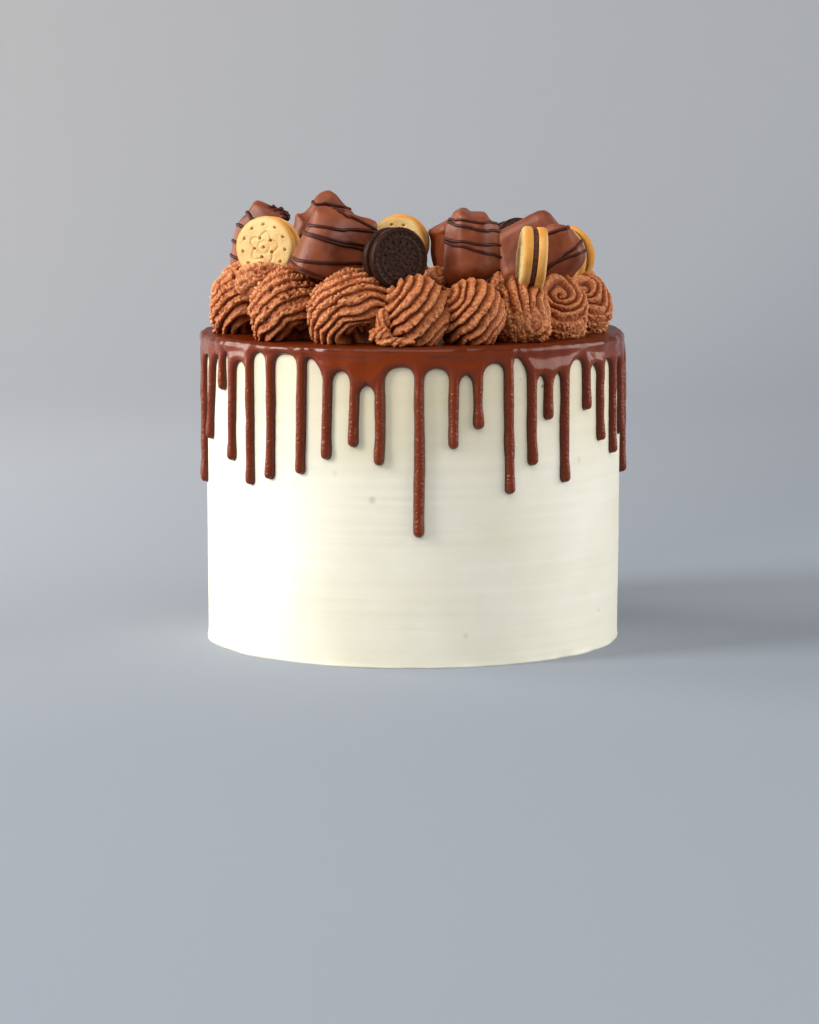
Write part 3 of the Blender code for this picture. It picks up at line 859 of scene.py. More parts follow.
def make_ganache(material):
    """The ganache cap: its outer and inner side, which meet along its outline, its top, and
    the flat face that lies on the cake."""
    drips = all_drips()
    rows = int(LONGEST_DRIP / GANACHE_ROW)
    along, height = np.meshgrid(
        np.arange(GANACHE_COLUMNS) * GANACHE_COLUMN,
        GANACHE_TOP - GANACHE_RIM - np.arange(rows + 1) * GANACHE_ROW,
    )
    cells = ganache_cells(along, height, drips)
    around = neighbours(cells)
    used = around.any(0)
    border = used & ~around.all(0)
    inside = used & ~border
    free = inside.copy()
    free[0] = False
    along, height = fit_to_outline(along, height, border, free, drips)

    # The outer side sinks just into the icing at its border
    thick, depth = ganache_thickness(along, height, drips)
    thick[border] = -0.05
    angle = along / CAKE_RADIUS
    icing = icing_radius(angle, height)
    radius = np.minimum(icing + thick, GANACHE_REACH)
    outer = on_cylinder(angle, radius, height)
    inner = on_cylinder(angle, icing - 0.3, height)
    angle = np.arange(GANACHE_COLUMNS) * GANACHE_COLUMN / CAKE_RADIUS
    top = ganache_top(angle, radius[0])
    under = [
        on_cylinder(angle, distance, CAKE_HEIGHT - 0.4)
        for distance in (CAKE_RADIUS - 1.0, 0.75 * CAKE_RADIUS, 0.4 * CAKE_RADIUS)
    ]

    # Points are numbered in this order: outer side, inner side off the border, top, under
    outer_number = np.full(used.shape, -1)
    outer_number[used] = np.arange(used.sum())
    inner_number = outer_number.copy()
    count = int(used.sum())
    inner_number[inside] = count + np.arange(inside.sum())
    count += int(inside.sum())
    points = [outer[used], inner[inside]]
    depths = [depth[used], np.zeros(inside.sum())]
    faces = []
    for numbers, outward in ((outer_number, True), (inner_number, False)):
        after = np.roll(numbers, -1, 1)
        quads = np.stack((numbers[:-1], numbers[1:], after[1:], after[:-1]), -1)[cells]
        faces += (quads if outward else quads[:, ::-1]).tolist()
    for first, levels, outward in ((outer_number[0], top, True), (inner_number[0], under, False)):
        lower = first
        for level in levels:
            upper = count + np.arange(GANACHE_COLUMNS)
            count += GANACHE_COLUMNS
            points.append(level)
            # A low depth darkens the top as painted shade from the swirls; the under face is hidden
            depths.append(np.full(GANACHE_COLUMNS, GANACHE_TOP_SHADE))
            quads = np.stack((lower, np.roll(lower, -1), np.roll(upper, -1), upper), -1)
            faces += (quads if outward else quads[:, ::-1]).tolist()
            lower = upper
        points.append(levels[-1].mean(0)[None])
        depths.append(np.full(1, GANACHE_TOP_SHADE))
        fan = np.stack((lower, np.roll(lower, -1), np.full(GANACHE_COLUMNS, count)), -1)
        faces += (fan if outward else fan[:, ::-1]).tolist()
        count += 1
    piece = make_object(
        "ganache_cap", np.concatenate(points), faces, material, {"depth": np.concatenate(depths)}
    )
    keep_piece(piece, "ganache", "ganache")


# Piped swirls

def all_swirls():
    """Front swirls as listed, and back swirls spread evenly with a seeded jitter."""
    swirls = [tuple(swirl) for swirl in FRONT_SWIRLS]
    rng = random.Random(SWIRL_SEED)
    step = (BACK_SWIRLS_END - BACK_SWIRLS_START) / (BACK_SWIRLS + 1)
    for index in range(BACK_SWIRLS):
        azimuth = BACK_SWIRLS_START + step * (index + 1 + rng.uniform(-0.05, 0.05))
        width = rng.uniform(28, 31)
        height = rng.uniform(23.5, 27.5)
        curl = 60 + rng.uniform(-22, 22)
        rise = -34 + rng.uniform(-9, 9)
        hollow = rng.uniform(0.4, 0.7)
        tear = rng.uniform(0.5, 1.1)
        swirls.append((
            azimuth, SWIRL_RING, width, SWIRL_DEPTH, height, curl, rise, SWIRL_RIDGES, hollow, tear,
            NEVER_FADES,
        ))
    return swirls


def swirl_crests(tree, unit, askew, polar, ridges, seed):
    """Height of the ridges, from 0 in the groove to 1 on the crest: one spiral round the axis
    of the curl, that runs unevenly near the hollow and is steep on the side of the hollow."""
    x = add_node(tree, "ShaderNodeSeparateXYZ", {0: unit})
    y = x.node.outputs["Y"]
    turn = add_node(tree, "ShaderNodeMath", {0: y, 1: x}, operation="ARCTAN2")
    turn = add_node(tree, "ShaderNodeMath", {0: turn, 1: 0.5 / math.pi, 2: 0.5}, operation="MULTIPLY_ADD")
    pitch = add_node(tree, "ShaderNodeMath", {0: ridges, 1: math.pi}, operation="DIVIDE")
    uneven = add_node(tree, "ShaderNodeTexNoise", {
        "Vector": askew, "W": seed, "Scale": 1.1, "Detail": 0.0,
    }, noise_dimensions="4D")
    uneven = add_node(tree, "ShaderNodeMath", {0: uneven, 1: 0.5}, operation="SUBTRACT")
    near = add_node(tree, "ShaderNodeMapRange", {
        "Value": polar, "From Min": 0.2, "From Max": 1.6, "To Min": 1.1, "To Max": 0.1,
    }, interpolation_type="SMOOTHSTEP")
    shifted = add_node(tree, "ShaderNodeMath", {0: uneven, 1: near, 2: polar}, operation="MULTIPLY_ADD")
    crest = add_node(tree, "ShaderNodeMath", {0: shifted, 1: pitch, 2: turn}, operation="MULTIPLY_ADD")
    crest = add_node(tree, "ShaderNodeMath", {0: crest}, operation="FRACT")
    crest = add_node(tree, "ShaderNodeMath", {0: crest, 1: 0.6}, operation="POWER")
    crest = add_node(tree, "ShaderNodeMath", {0: crest, 1: math.pi}, operation="MULTIPLY")
    crest = add_node(tree, "ShaderNodeMath", {0: crest}, operation="SINE")
    return add_node(tree, "ShaderNodeMath", {0: crest, 1: 0.65}, operation="POWER")


def swirl_directions(tree, unit, askew, crest, away, seed):
    """Where the ball's points lie from its middle: rings wander, edges are ragged where the
    cream tears, and each lip leans over the groove below it."""
    ragged = add_node(tree, "ShaderNodeMath", {0: away, 1: 0.09, 2: 0.025}, operation="MULTIPLY_ADD")
    aim = unit
    for place, lumps, detail, amount in ((unit, 1.5, 1.0, 0.34), (askew, 6.5, 2.0, ragged)):
        drift = add_node(tree, "ShaderNodeTexNoise", {
            "Vector": place, "W": seed, "Scale": lumps, "Detail": detail,
        }, output=1, noise_dimensions="4D")
        drift = add_node(tree, "ShaderNodeVectorMath", {0: drift, 1: HALF_GREY}, operation="SUBTRACT")
        drift = add_node(tree, "ShaderNodeVectorMath", {0: drift, "Scale": amount}, operation="SCALE")
        aim = add_node(tree, "ShaderNodeVectorMath", {0: aim, 1: drift}, operation="ADD")
    lean = add_node(tree, "ShaderNodeMath", {0: crest, 1: 0.06}, operation="MULTIPLY")
    lean = add_node(tree, "ShaderNodeCombineXYZ", {2: lean})
    aim = add_node(tree, "ShaderNodeVectorMath", {0: aim, 1: lean}, operation="ADD")
    return add_node(tree, "ShaderNodeVectorMath", {0: aim}, operation="NORMALIZE")


def swirl_tears(tree, plain, crest, away, seed):
    """How far bits of about a millimetre stand out, on the crests and away from the hollow,
    and the fine grain and the slow lumps. Scales are in lumps per metre."""
    patches = add_node(tree, "ShaderNodeTexNoise", {
        "Vector": plain, "W": seed, "Scale": 190.0, "Detail": 2.0,
    }, noise_dimensions="4D")
    patches = add_node(tree, "ShaderNodeMapRange", {
        "Value": patches, "From Min": 0.36, "From Max": 0.6, "To Min": 0.15,
    })
    torn = add_node(tree, "ShaderNodeMath", {0: away, 1: patches}, operation="MULTIPLY")
    rough = add_node(tree, "ShaderNodeMath", {0: crest, 1: 0.75, 2: 0.25}, operation="MULTIPLY_ADD")
    rough = add_node(tree, "ShaderNodeMath", {0: torn, 1: rough}, operation="MULTIPLY")
    apart = add_node(tree, "ShaderNodeVectorMath", {0: plain, 1: seed}, operation="ADD")
    bits = add_node(tree, "ShaderNodeTexVoronoi", {"Vector": apart, "Scale": 900.0})
    bits = add_node(tree, "ShaderNodeMath", {0: bits, 1: 2.0}, operation="POWER")
    bits = add_node(tree, "ShaderNodeMath", {0: 0.24, 1: bits}, operation="SUBTRACT")
    reliefs = [add_node(tree, "ShaderNodeMath", {0: bits, 1: rough}, operation="MULTIPLY")]
    for lumps, detail in ((1100.0, 2.0), (110.0, 1.0)):
        relief = add_node(tree, "ShaderNodeTexNoise", {
            "Vector": plain, "W": seed, "Scale": lumps, "Detail": detail,
        }, noise_dimensions="4D")
        reliefs.append(add_node(tree, "ShaderNodeMath", {0: relief, 1: 0.5}, operation="SUBTRACT"))
    return reliefs


def groove_depths(tree, given, plain, aim, away):
    """Depth of the grooves: more at the foot, where the ridges end in teeth, and less below a
    given height and where the cream is torn."""
    low = add_node(tree, "ShaderNodeSeparateXYZ", {0: plain}, output="Z")
    low = add_node(tree, "ShaderNodeMath", {0: low, 1: given.outputs["Waist"]}, operation="DIVIDE")
    deeper = add_node(tree, "ShaderNodeMapRange", {
        "Value": low, "From Min": 0.1, "From Max": -1.0, "To Min": 1.0, "To Max": 1.55,
    })
    fade = add_node(tree, "ShaderNodeSeparateXYZ", {0: aim}, output="Z")
    fade = add_node(tree, "ShaderNodeMath", {0: fade, 1: given.outputs["Fade Below"]}, operation="SUBTRACT")
    fade = add_node(tree, "ShaderNodeMapRange", {
        "Value": fade, "From Min": -0.3, "From Max": 0.25, "To Min": 0.18, "To Max": 1.0,
    }, interpolation_type="SMOOTHSTEP")
    worn = add_node(tree, "ShaderNodeMapRange", {
        "Value": away, "From Min": 0.6, "From Max": 1.3, "To Min": 1.0, "To Max": 0.55,
    })
    depth = given.outputs["Ridge Depth"]
    for share in (deeper, fade, worn):
        depth = add_node(tree, "ShaderNodeMath", {0: depth, 1: share}, operation="MULTIPLY")
    return depth


def swirl_tree(material):
    """A swirl piped through a star tip: a ball made a dome round its waist, with a hollow in
    its curl, a spiral ridge round that, and torn, grainy crests away from it."""
    tree, given = new_geometry_tree("piped swirl", (
        ("Half Size", "Vector"), ("Waist", "Float"), ("Curl Turn", "Vector"),
        ("Ridge Depth", "Float"), ("Hollow Width", "Float"), ("Hollow Depth", "Float"),
        ("Tear", "Float"), ("Fade Below", "Float"), ("Ridges", "Int"), ("Segments", "Int"),
        ("Seed", "Float"),
    ))
    ridges = given.outputs["Ridges"]
    seed = given.outputs["Seed"]
    rings = add_node(tree, "ShaderNodeMath", {0: ridges, 1: RINGS_PER_RIDGE}, operation="MULTIPLY")
    ball = add_node(tree, "GeometryNodeMeshUVSphere", {
        "Segments": given.outputs["Segments"], "Rings": rings, "Radius": 1.0,
    })
    place = add_node(tree, "GeometryNodeInputPosition")
    unit = add_node(tree, "ShaderNodeVectorMath", {0: place}, operation="NORMALIZE")
    polar = add_node(tree, "ShaderNodeSeparateXYZ", {0: unit}, output="Z")
    polar = add_node(tree, "ShaderNodeMath", {0: polar}, operation="ARCCOSINE")
    askew = add_node(
        tree, "ShaderNodeVectorRotate", {"Vector": unit, "Rotation": (0.7, 0.5, 0.9)},
        rotation_type="EULER_XYZ",
    )
    crest = swirl_crests(tree, unit, askew, polar, ridges, seed)

    # Near the hollow the cream is smooth, and away from it it tears
    away = add_node(tree, "ShaderNodeMapRange", {
        "Value": polar, "From Min": 0.8, "From Max": 1.7, "To Min": 0.15, "To Max": 1.1,
    }, interpolation_type="SMOOTHSTEP")
    away = add_node(tree, "ShaderNodeMath", {0: away, 1: given.outputs["Tear"]}, operation="MULTIPLY")
    aim = swirl_directions(tree, unit, askew, crest, away, seed)
    aim = add_node(
        tree, "ShaderNodeVectorRotate", {"Vector": aim, "Rotation": given.outputs["Curl Turn"]},
        rotation_type="EULER_XYZ",
    )

    # The plain dome, in each direction
    scaled = add_node(
        tree, "ShaderNodeVectorMath", {0: aim, 1: given.outputs["Half Size"]}, operation="DIVIDE"
    )
    dome = add_node(tree, "ShaderNodeVectorMath", {0: scaled}, output=1, operation="LENGTH")
    reach = add_node(tree, "ShaderNodeMath", {0: 1.0, 1: dome}, operation="DIVIDE")
    plain = add_node(tree, "ShaderNodeVectorMath", {0: aim, "Scale": reach}, operation="SCALE")
    bits, grain, lumps = swirl_tears(tree, plain, crest, away, seed)
    depth = groove_depths(tree, given, plain, aim, away)

    # Distance from the waist's middle: the dome with its hollow, ridges, lumps and tears
    hollow = polar
    for operation, value in (
        ("DIVIDE", given.outputs["Hollow Width"]), ("POWER", 2.0), ("MULTIPLY", -1.0),
    ):
        hollow = add_node(tree, "ShaderNodeMath", {0: hollow, 1: value}, operation=operation)
    hollow = add_node(tree, "ShaderNodeMath", {0: hollow}, operation="EXPONENT")
    hollow = add_node(
        tree, "ShaderNodeMath", {0: hollow, 1: given.outputs["Hollow Depth"]}, operation="MULTIPLY"
    )
    hollow = add_node(tree, "ShaderNodeMath", {0: 1.0, 1: hollow}, operation="SUBTRACT")
    reach = add_node(tree, "ShaderNodeMath", {0: hollow, 1: reach}, operation="MULTIPLY")
    fold = add_node(tree, "ShaderNodeMath", {0: crest, 1: 1.0}, operation="SUBTRACT")
    for relief, height in (
        (fold, depth), (lumps, LUMP_HEIGHT * MM), (bits, TEAR_HEIGHT * MM), (grain, GRAIN_HEIGHT * MM),
    ):
        reach = add_node(
            tree, "ShaderNodeMath", {0: relief, 1: height, 2: reach}, operation="MULTIPLY_ADD"
        )
    moved = add_node(tree, "ShaderNodeVectorMath", {0: aim, "Scale": reach}, operation="SCALE")

    # The foot lies flat on the ganache
    x = add_node(tree, "ShaderNodeSeparateXYZ", {0: moved})
    y, z = x.node.outputs["Y"], x.node.outputs["Z"]
    foot = add_node(tree, "ShaderNodeMath", {0: given.outputs["Waist"], 1: -1.0}, operation="MULTIPLY")
    z = add_node(tree, "ShaderNodeMath", {0: z, 1: foot}, operation="MAXIMUM")
    moved = add_node(tree, "ShaderNodeCombineXYZ", {0: x, 1: y, 2: z})

    # Painted light and shade: crests and the tops of torn bits are stored paler, as painted
    # highlight, and the grooves darker, as painted shade
    painted_light_and_shade = add_node(tree, "ShaderNodeMath", {0: depth, 1: 1 / (RIDGE_DEPTH * MM)}, operation="MULTIPLY")
    painted_light_and_shade = add_node(tree, "ShaderNodeMath", {0: fold, 1: painted_light_and_shade, 2: 1.0}, operation="MULTIPLY_ADD")
    painted_light_and_shade = add_node(tree, "ShaderNodeMath", {0: bits, 1: 2.2, 2: painted_light_and_shade}, operation="MULTIPLY_ADD")
    marked = add_node(tree, "GeometryNodeStoreNamedAttribute", {
        "Geometry": ball, "Name": "crest", "Value": painted_light_and_shade,
    }, data_type="FLOAT", domain="POINT")
    shaped = add_node(tree, "GeometryNodeSetPosition", {"Geometry": marked, "Position": moved})
    finish_tree(tree, shaped, material)
    return tree


def add_swirl(name, tree, half_size, waist, curl, rise, ridges, depths, place, seed):
    """One swirl, made round the middle of its waist and put at its place. Its curl and rise
    say where its axis points, its ridges are their count, depth and mesh segments, and its
    depths are those of its hollow and tears, and the height below which its ridges fade."""
    piece = bpy.data.objects.new(name, bpy.data.meshes.new(name))
    bpy.context.scene.collection.objects.link(piece)
    axis = Vector((
        math.sin(math.radians(curl)) * math.cos(math.radians(rise)),
        math.cos(math.radians(curl)) * math.cos(math.radians(rise)),
        math.sin(math.radians(rise)),
    ))
    hollow, tear, fade = depths
    count, ridge_depth, segments = ridges
    add_tree(piece, tree, {
        "Half Size": Vector(half_size) * MM,
        "Waist": waist * MM,
        "Curl Turn": Vector(axis.to_track_quat("Z", "Y").to_euler("XYZ")),
        "Ridge Depth": ridge_depth * MM,
        "Hollow Width": math.radians(HOLLOW_WIDTH),
        "Hollow Depth": hollow,
        "Tear": tear,
        "Fade Below": float(fade),
        "Ridges": count,
        "Segments": segments,
        "Seed": seed,
    })
    apply_modifiers(piece)
    piece.data.transform(place)
    if place.determinant() < 0:
        piece.data.flip_normals()
    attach(piece, BODY)
    return piece


def place_facing(azimuth, middle):
    """Turns a swirl's own right, outward and up to a place on the cake."""
    angle = math.radians(azimuth)
    out = Vector((math.sin(angle), -math.cos(angle), 0))
    side = Vector((math.cos(angle), math.sin(angle), 0))
    place = Matrix((side, out, (0, 0, 1))).transposed().to_4x4()
    place.translation = Vector(middle) * MM
    return place


def make_swirls(material):
    """The ring of swirls, and the tails between and beside them."""
    tree = swirl_tree(material)
    for index, swirl in enumerate(all_swirls()):
        azimuth, ring, width, thickness, height, curl, rise, ridges, *depths = swirl
        angle = math.radians(azimuth)
        middle = (math.sin(angle) * ring, -math.cos(angle) * ring, GANACHE_TOP + SWIRL_WAIST)
        half_size = (0.5 * width, 0.5 * thickness, height - SWIRL_WAIST)
        piece = add_swirl(
            f"piped_swirl_{index + 1:02d}", tree, half_size, SWIRL_WAIST, curl, rise,
            (ridges, RIDGE_DEPTH * SWIRL_RIDGES / ridges, SWIRL_SEGMENTS), depths,
            place_facing(azimuth, middle), 3.7 * index,
        )
        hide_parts(f"swirl_{index + 1:02d}")
    for index, tail in enumerate(SWIRL_TAILS):
        waist = tail[2] - GANACHE_TOP
        add_swirl(
            f"piped_tail_{index + 1}", tree, tail[3:6], waist, tail[6], tail[7],
            (TAIL_RIDGES, TAIL_RIDGE_DEPTH, TAIL_SEGMENTS), (TAIL_HOLLOW, tail[8], NEVER_FADES),
            place_facing(0, tail[:3]), 51.3 + 4.1 * index,
        )


# Sandwich biscuits

def node_middle(node):
    """Middle of a solid, in metres."""
    corners = np.array([vertex.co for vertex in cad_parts[node].data.vertices])
    unique = np.unique(np.round(corners, 6), axis=0)
    return Vector(unique.mean(0))


def place_on(piece, middle, direction, spin):
    """Put a piece made round the origin at its place, its own Z along a direction."""
    turn = direction.to_track_quat("Z", "Y").to_matrix().to_4x4()
    piece.data.transform(Matrix.Translation(middle) @ turn @ Matrix.Rotation(spin, 4, "Z"))


def turned_disc(profile, columns):
    """Points of rings of (radius, height) pairs, from the foot's middle to the top's."""
    angle = np.linspace(0, 2 * math.pi, columns, endpoint=False)
    return np.stack([on_cylinder(angle, radius, height) for radius, height in profile])


def wafer_profile(edge, face_rings):
    """A wafer's section from the middle of its back, over its rounded rim, to its face."""
    half = 0.5 * WAFER_THICKNESS
    profile = [(0.35 * BISCUIT_RADIUS, -half), (0.7 * BISCUIT_RADIUS, -half)]
    profile += [(BISCUIT_RADIUS - 0.5, -half), (BISCUIT_RADIUS - 0.1, 0.3 - half)]
    for turn in np.radians(np.linspace(0, 90, 6)):
        out = BISCUIT_RADIUS - edge * (1 - math.cos(turn))
        profile.append((out, half - edge * (1 - math.sin(turn))))
    for share in np.linspace(1, 0, face_rings, endpoint=False)[1:]:
        profile.append(((BISCUIT_RADIUS - edge) * share, half))
    return profile


def golden_relief(points):
    """Generic docking holes, each with a slight rim, a lobed groove and a small round one,
    all pressed into the face."""
    radius = np.hypot(points[..., 0], points[..., 1])
    angle = np.arctan2(points[..., 1], points[..., 0])
    line = GROOVE_RADIUS + LOBE_HEIGHT * np.cos(GROOVE_LOBES * angle)
    relief = -GROOVE_DEPTH * np.exp(-((radius - line) / 0.42) ** 2)
    relief += -0.2 * np.exp(-((radius - 2.4) / 0.36) ** 2)
    for distance, count, phase in GOLDEN_HOLES:
        for index in range(count):
            turn = 2 * math.pi * (index + phase) / count
            right, up = distance * math.cos(turn), distance * math.sin(turn)
            gap = np.hypot(points[..., 0] - right, points[..., 1] - up)
            rim = 0.1 * np.exp(-((gap - 0.95) / 0.3) ** 2)
            relief += -HOLE_DEPTH * step_up(gap, 0.75, 0.25) + rim
    return relief


def make_golden_wafer(name, material, seed):
    """A golden wafer round the origin, its face up: domed, uneven, and darker at its rim, where
    it baked more, and in its pressed relief."""
    points = turned_disc(wafer_profile(GOLDEN_ROUNDING, 38), 132)
    radius = np.hypot(points[..., 0], points[..., 1])
    top = points[..., 2] > 0
    points[..., 2] += top * GOLDEN_DOME * (1 - (radius / BISCUIT_RADIUS) ** 2)
    face = top * step_up(radius, BISCUIT_RADIUS - 0.6, BISCUIT_RADIUS - 2.2)
    relief = golden_relief(points)
    swing = noise(points + 40 * seed, 6, 21)
    points[..., 2] += face * relief + top * (0.16 * swing + 0.07 * noise(points + 40 * seed, 1.4, 22))
    side = 1 + 0.012 * noise(points + 40 * seed, 4, 23) * (radius > 0.8 * BISCUIT_RADIUS)
    points[..., :2] *= np.minimum(side, BISCUIT_RADIUS / np.maximum(radius, 1) * 1.002)[..., None]
    bake = 0.7 * step_up(radius, BISCUIT_RADIUS - 1.7, BISCUIT_RADIUS + 0.2)
    bake = bake + 0.75 * face * np.clip(-relief, 0, 1) ** 1.3 + 0.2 * swing
    shell, faces = closed_rings(points)
    bake = np.append(bake.ravel(), (0.3, bake[-1].mean()))
    return make_object(name, shell, faces, material, {"bake": bake})


def stud_tree(material):
    """Rings of raised studs, added to a wafer's face or rim."""
    tree, given = new_geometry_tree("ring of studs", (
        ("Wafer", "Geometry"), ("Count", "Int"), ("Radius", "Float"), ("Height", "Float"),
        ("Stud Size", "Vector"), ("Phase", "Float"),
    ))
    ring = add_node(tree, "GeometryNodeMeshCircle", {
        "Vertices": given.outputs["Count"], "Radius": given.outputs["Radius"],
    })
    stud = add_node(tree, "GeometryNodeMeshUVSphere", {"Segments": 8, "Rings": 6, "Radius": 1.0})
    place = add_node(tree, "GeometryNodeInputPosition")
    turn = add_node(tree, "FunctionNodeAlignRotationToVector", {"Vector": place}, axis="X")
    studs = add_node(tree, "GeometryNodeInstanceOnPoints", {
        "Points": ring, "Instance": stud, "Rotation": turn, "Scale": given.outputs["Stud Size"],
    })
    lift = add_node(tree, "ShaderNodeCombineXYZ", {2: given.outputs["Height"]})
    spin = add_node(tree, "ShaderNodeCombineXYZ", {2: given.outputs["Phase"]})
    moved = add_node(tree, "GeometryNodeTransform", {
        "Geometry": studs, "Translation": lift, "Rotation": spin,
    })
    joined = add_node(tree, "GeometryNodeJoinGeometry", {"Geometry": given.outputs["Wafer"]})
    tree.links.new(moved, joined.node.inputs["Geometry"])
    finish_tree(tree, joined, material)
    return tree


def make_dark_wafer(name, material, studs, seed):
    """A dark wafer round the origin, its face up, with a rim of ribs and raised rings."""
    points = turned_disc(wafer_profile(DARK_ROUNDING, 22), 96)
    radius = np.hypot(points[..., 0], points[..., 1])
    points[..., :2] *= np.where(radius > 11, 0.985, 1)[..., None]
    ring = np.exp(-((radius - 7.9) / 0.28) ** 2) + 1.5 * np.exp(-((radius - 10.6) / 0.5) ** 2)
    top = points[..., 2] > 0
    points[..., 2] += top * (DARK_RING_HEIGHT * ring + 0.05 * noise(points + 40 * seed, 0.9, 24))
    shell, faces = closed_rings(points)
    piece = make_object(name, shell, faces, material)
    for count, distance, height, length, width, rise, phase in DARK_STUDS:
        add_tree(piece, studs, {
            "Count": count,
            "Radius": distance * MM,
            "Height": height * MM,
            "Stud Size": Vector((length, width, rise)) * MM,
            "Phase": math.radians(phase),
        })
    apply_modifiers(piece)
    return piece


def make_cream(name, material, inset, seed):
    """A biscuit's filling round the origin, rough where it was squeezed out. It reaches just
    into the wafers."""
    radius = BISCUIT_RADIUS - inset
    half = 0.5 * (CREAM_THICKNESS + CREAM_SWELL) + 0.08
    profile = [(0.5 * radius, -half), (0.93 * radius, -half)]
    profile += [(radius, 0.25 * half * level) for level in (-3, -2, -1, 0, 1, 2, 3)]
    profile += [(0.93 * radius, half), (0.5 * radius, half)]
    points = turned_disc(profile, 150)
    outer = np.hypot(points[..., 0], points[..., 1]) > 0.97 * radius
    rough = 0.35 * noise(points + 40 * seed, 2.4, 25) + 0.3 * noise(points + 40 * seed, 0.9, 26)
    points[..., :2] *= (1 + outer * rough / radius)[..., None]
    shell, faces = closed_rings(points)
    return make_object(name, shell, faces, material)


def make_biscuits(materials):
    """Two wafers and a filling for each biscuit, along the axis through its solids."""
    studs = stud_tree(materials["dark_biscuit"])
    rng = random.Random(BISCUIT_SEED)
    for index, biscuit in enumerate(GOLDEN_BISCUITS + DARK_BISCUITS):
        golden = biscuit in GOLDEN_BISCUITS
        front = node_middle(f"{biscuit}_front")
        back = node_middle(f"{biscuit}_back")
        middle = 0.5 * (front + back)
        axis = (front - back).normalized()
        *shift, turn, lean = BISCUIT_SHIFTS.get(biscuit, (0, 0, 0, 0, 0))
        middle = middle + Vector(shift) * MM
        axis = Matrix.Rotation(math.radians(turn), 3, "Z") @ axis
        axis = Matrix.Rotation(math.radians(lean), 3, "Y") @ axis
        offset = 0.5 * (WAFER_THICKNESS + CREAM_THICKNESS + CREAM_SWELL) * MM
        for part, direction in (("front", axis), ("back", -axis)):
            name = f"{biscuit}_{part}_wafer"
            spin = rng.uniform(0, 2 * math.pi)
            if golden:
                wafer = make_golden_wafer(name, materials["golden_biscuit"], index + rng.random())
            else:
                wafer = make_dark_wafer(name, materials["dark_biscuit"], studs, index + rng.random())
            place_on(wafer, middle + direction * offset, direction, spin)
            slot = "golden_biscuit" if golden else "dark_biscuit"
            keep_piece(wafer, slot, f"{biscuit}_{part}")
        slot = "chocolate_cream" if golden else "vanilla_cream"
        inset = GOLDEN_CREAM_INSET if golden else DARK_CREAM_INSET
        cream = make_cream(f"{biscuit}_filling", materials[slot], inset, index)
        place_on(cream, middle, axis, 0)
        keep_piece(cream, slot, f"{biscuit}_cream")


# Chocolate pieces

# Thumbed and broken places of each piece, seen from the front: right and up from the piece's
# middle, how far round it reaches, and how far it is moved to the right, up and forward
THUMBED = {
    "chocolate_left": (
        (7.6, 11.9, 5, 3.3, -2.2, 0), (-6.2, 12.5, 4, 1.5, -1.8, 0), (-13.4, -9.6, 6, 2.5, 0, 0),
        (0, 13.6, 3, -0.8, 0.9, 0),
    ),
    "chocolate_back_left": (
        (-12.6, 3.4, 4.5, 3.0, -0.5, 0), (-8.1, 7.1, 4, 0.5, -3.0, 0),
        (-5.8, 10.2, 3.2, 0.5, -1.4, 0), (7.8, 9.1, 3, 0.5, -1.0, 0),
    ),
    "chocolate_tall": (
        (13.4, 7.8, 5, 2.6, 0.3, 0), (-3.7, 14.9, 4, -1.2, -0.4, 0), (-0.5, 8, 6, 0, 0, 2.3),
        (-2.0, 1, 6, 0, 0, 2.3), (-3.5, -6, 6, 0, 0, 2.1),
    ),
    "chocolate_front": (
        (-4.9, 13.4, 3.5, 0, 1.3, 0), (-11.6, 12.3, 4.0, 3.9, 0.8, 0), (2.9, 12.0, 2.6, 0.5, 1.2, 0),
        (-1.5, 14.0, 1.4, 0, -1.0, 0), (7.0, 12.5, 2.4, -1.0, -1.2, 0), (-12, 4.5, 6, 1.2, 0, 0),
        (-6.3, 11, 4, 0, 0, 1.8), (-6.0, 5, 4, 0, 0, 1.8), (-5.6, -1, 4, 0, 0, 1.8),
        (-5.2, -7, 4, 0, 0, 1.8), (5.7, 8, 4, 0, 0, -1.8), (5.9, 2, 4, 0, 0, -1.8),
        (6.1, -4, 4, 0, 0, -1.8), (6.3, -10, 4, 0, 0, -1.8),
    ),
    "chocolate_back_middle": ((-10.9, 10.6, 6, -0.8, -4.2, 0), (-9, -5, 6, -1.2, 0, 0)),
    "chocolate_corner": (
        (5.7, 7.7, 4, -1.8, -1.4, 0), (10, -0.4, 5, -1.5, -0.5, 0), (-5.2, 7.5, 5, 0, 2.4, 0),
    ),
    "chocolate_right": (),
}


def moulded_copy(node, material):
    """A chocolate piece from its solid, with softened edges, thumbed places and slightly
    uneven faces."""
    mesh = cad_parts[node].data.copy()
    shape = bmesh.new()
    shape.from_mesh(mesh)
    bmesh.ops.remove_doubles(shape, verts=shape.verts, dist=0.00001)
    shape.to_mesh(mesh)
    shape.free()
    mesh.materials.clear()
    mesh.materials.append(material)
    piece = bpy.data.objects.new(f"{node}_piece", mesh)
    bpy.context.scene.collection.objects.link(piece)
    remesh = piece.modifiers.new("even", "REMESH")
    remesh.mode = "VOXEL"
    remesh.voxel_size = CHOCOLATE_GRID * MM
    soften = piece.modifiers.new("soften", "SMOOTH")
    soften.factor = 0.5
    soften.iterations = 5
    apply_modifiers(piece)
    mesh = piece.data
    count = len(mesh.vertices)
    points = np.zeros(count * 3)
    normals = np.zeros(count * 3)
    mesh.vertices.foreach_get("co", points)
    mesh.vertices.foreach_get("normal", normals)
    points = points.reshape(-1, 3) / MM
    normals = normals.reshape(-1, 3)
    middle = np.array(node_middle(node)) / MM
    shift = np.zeros_like(points)
    for right, up, reach, move_right, move_up, forward in THUMBED[node]:
        far = (points[:, 0] - middle[0] - right) ** 2 + (points[:, 2] - middle[2] - up) ** 2
        near = np.exp(-far / reach ** 2)
        shift += near[:, None] * np.array((move_right, -forward, move_up))
    uneven = CHOCOLATE_UNEVENNESS * noise(points, 8, 31) + 0.1 * noise(points, 2.5, 32)
    points = points + shift + normals * uneven[:, None]
    mesh.vertices.foreach_set("co", (points * MM).ravel())
    mesh.shade_smooth()
    return piece


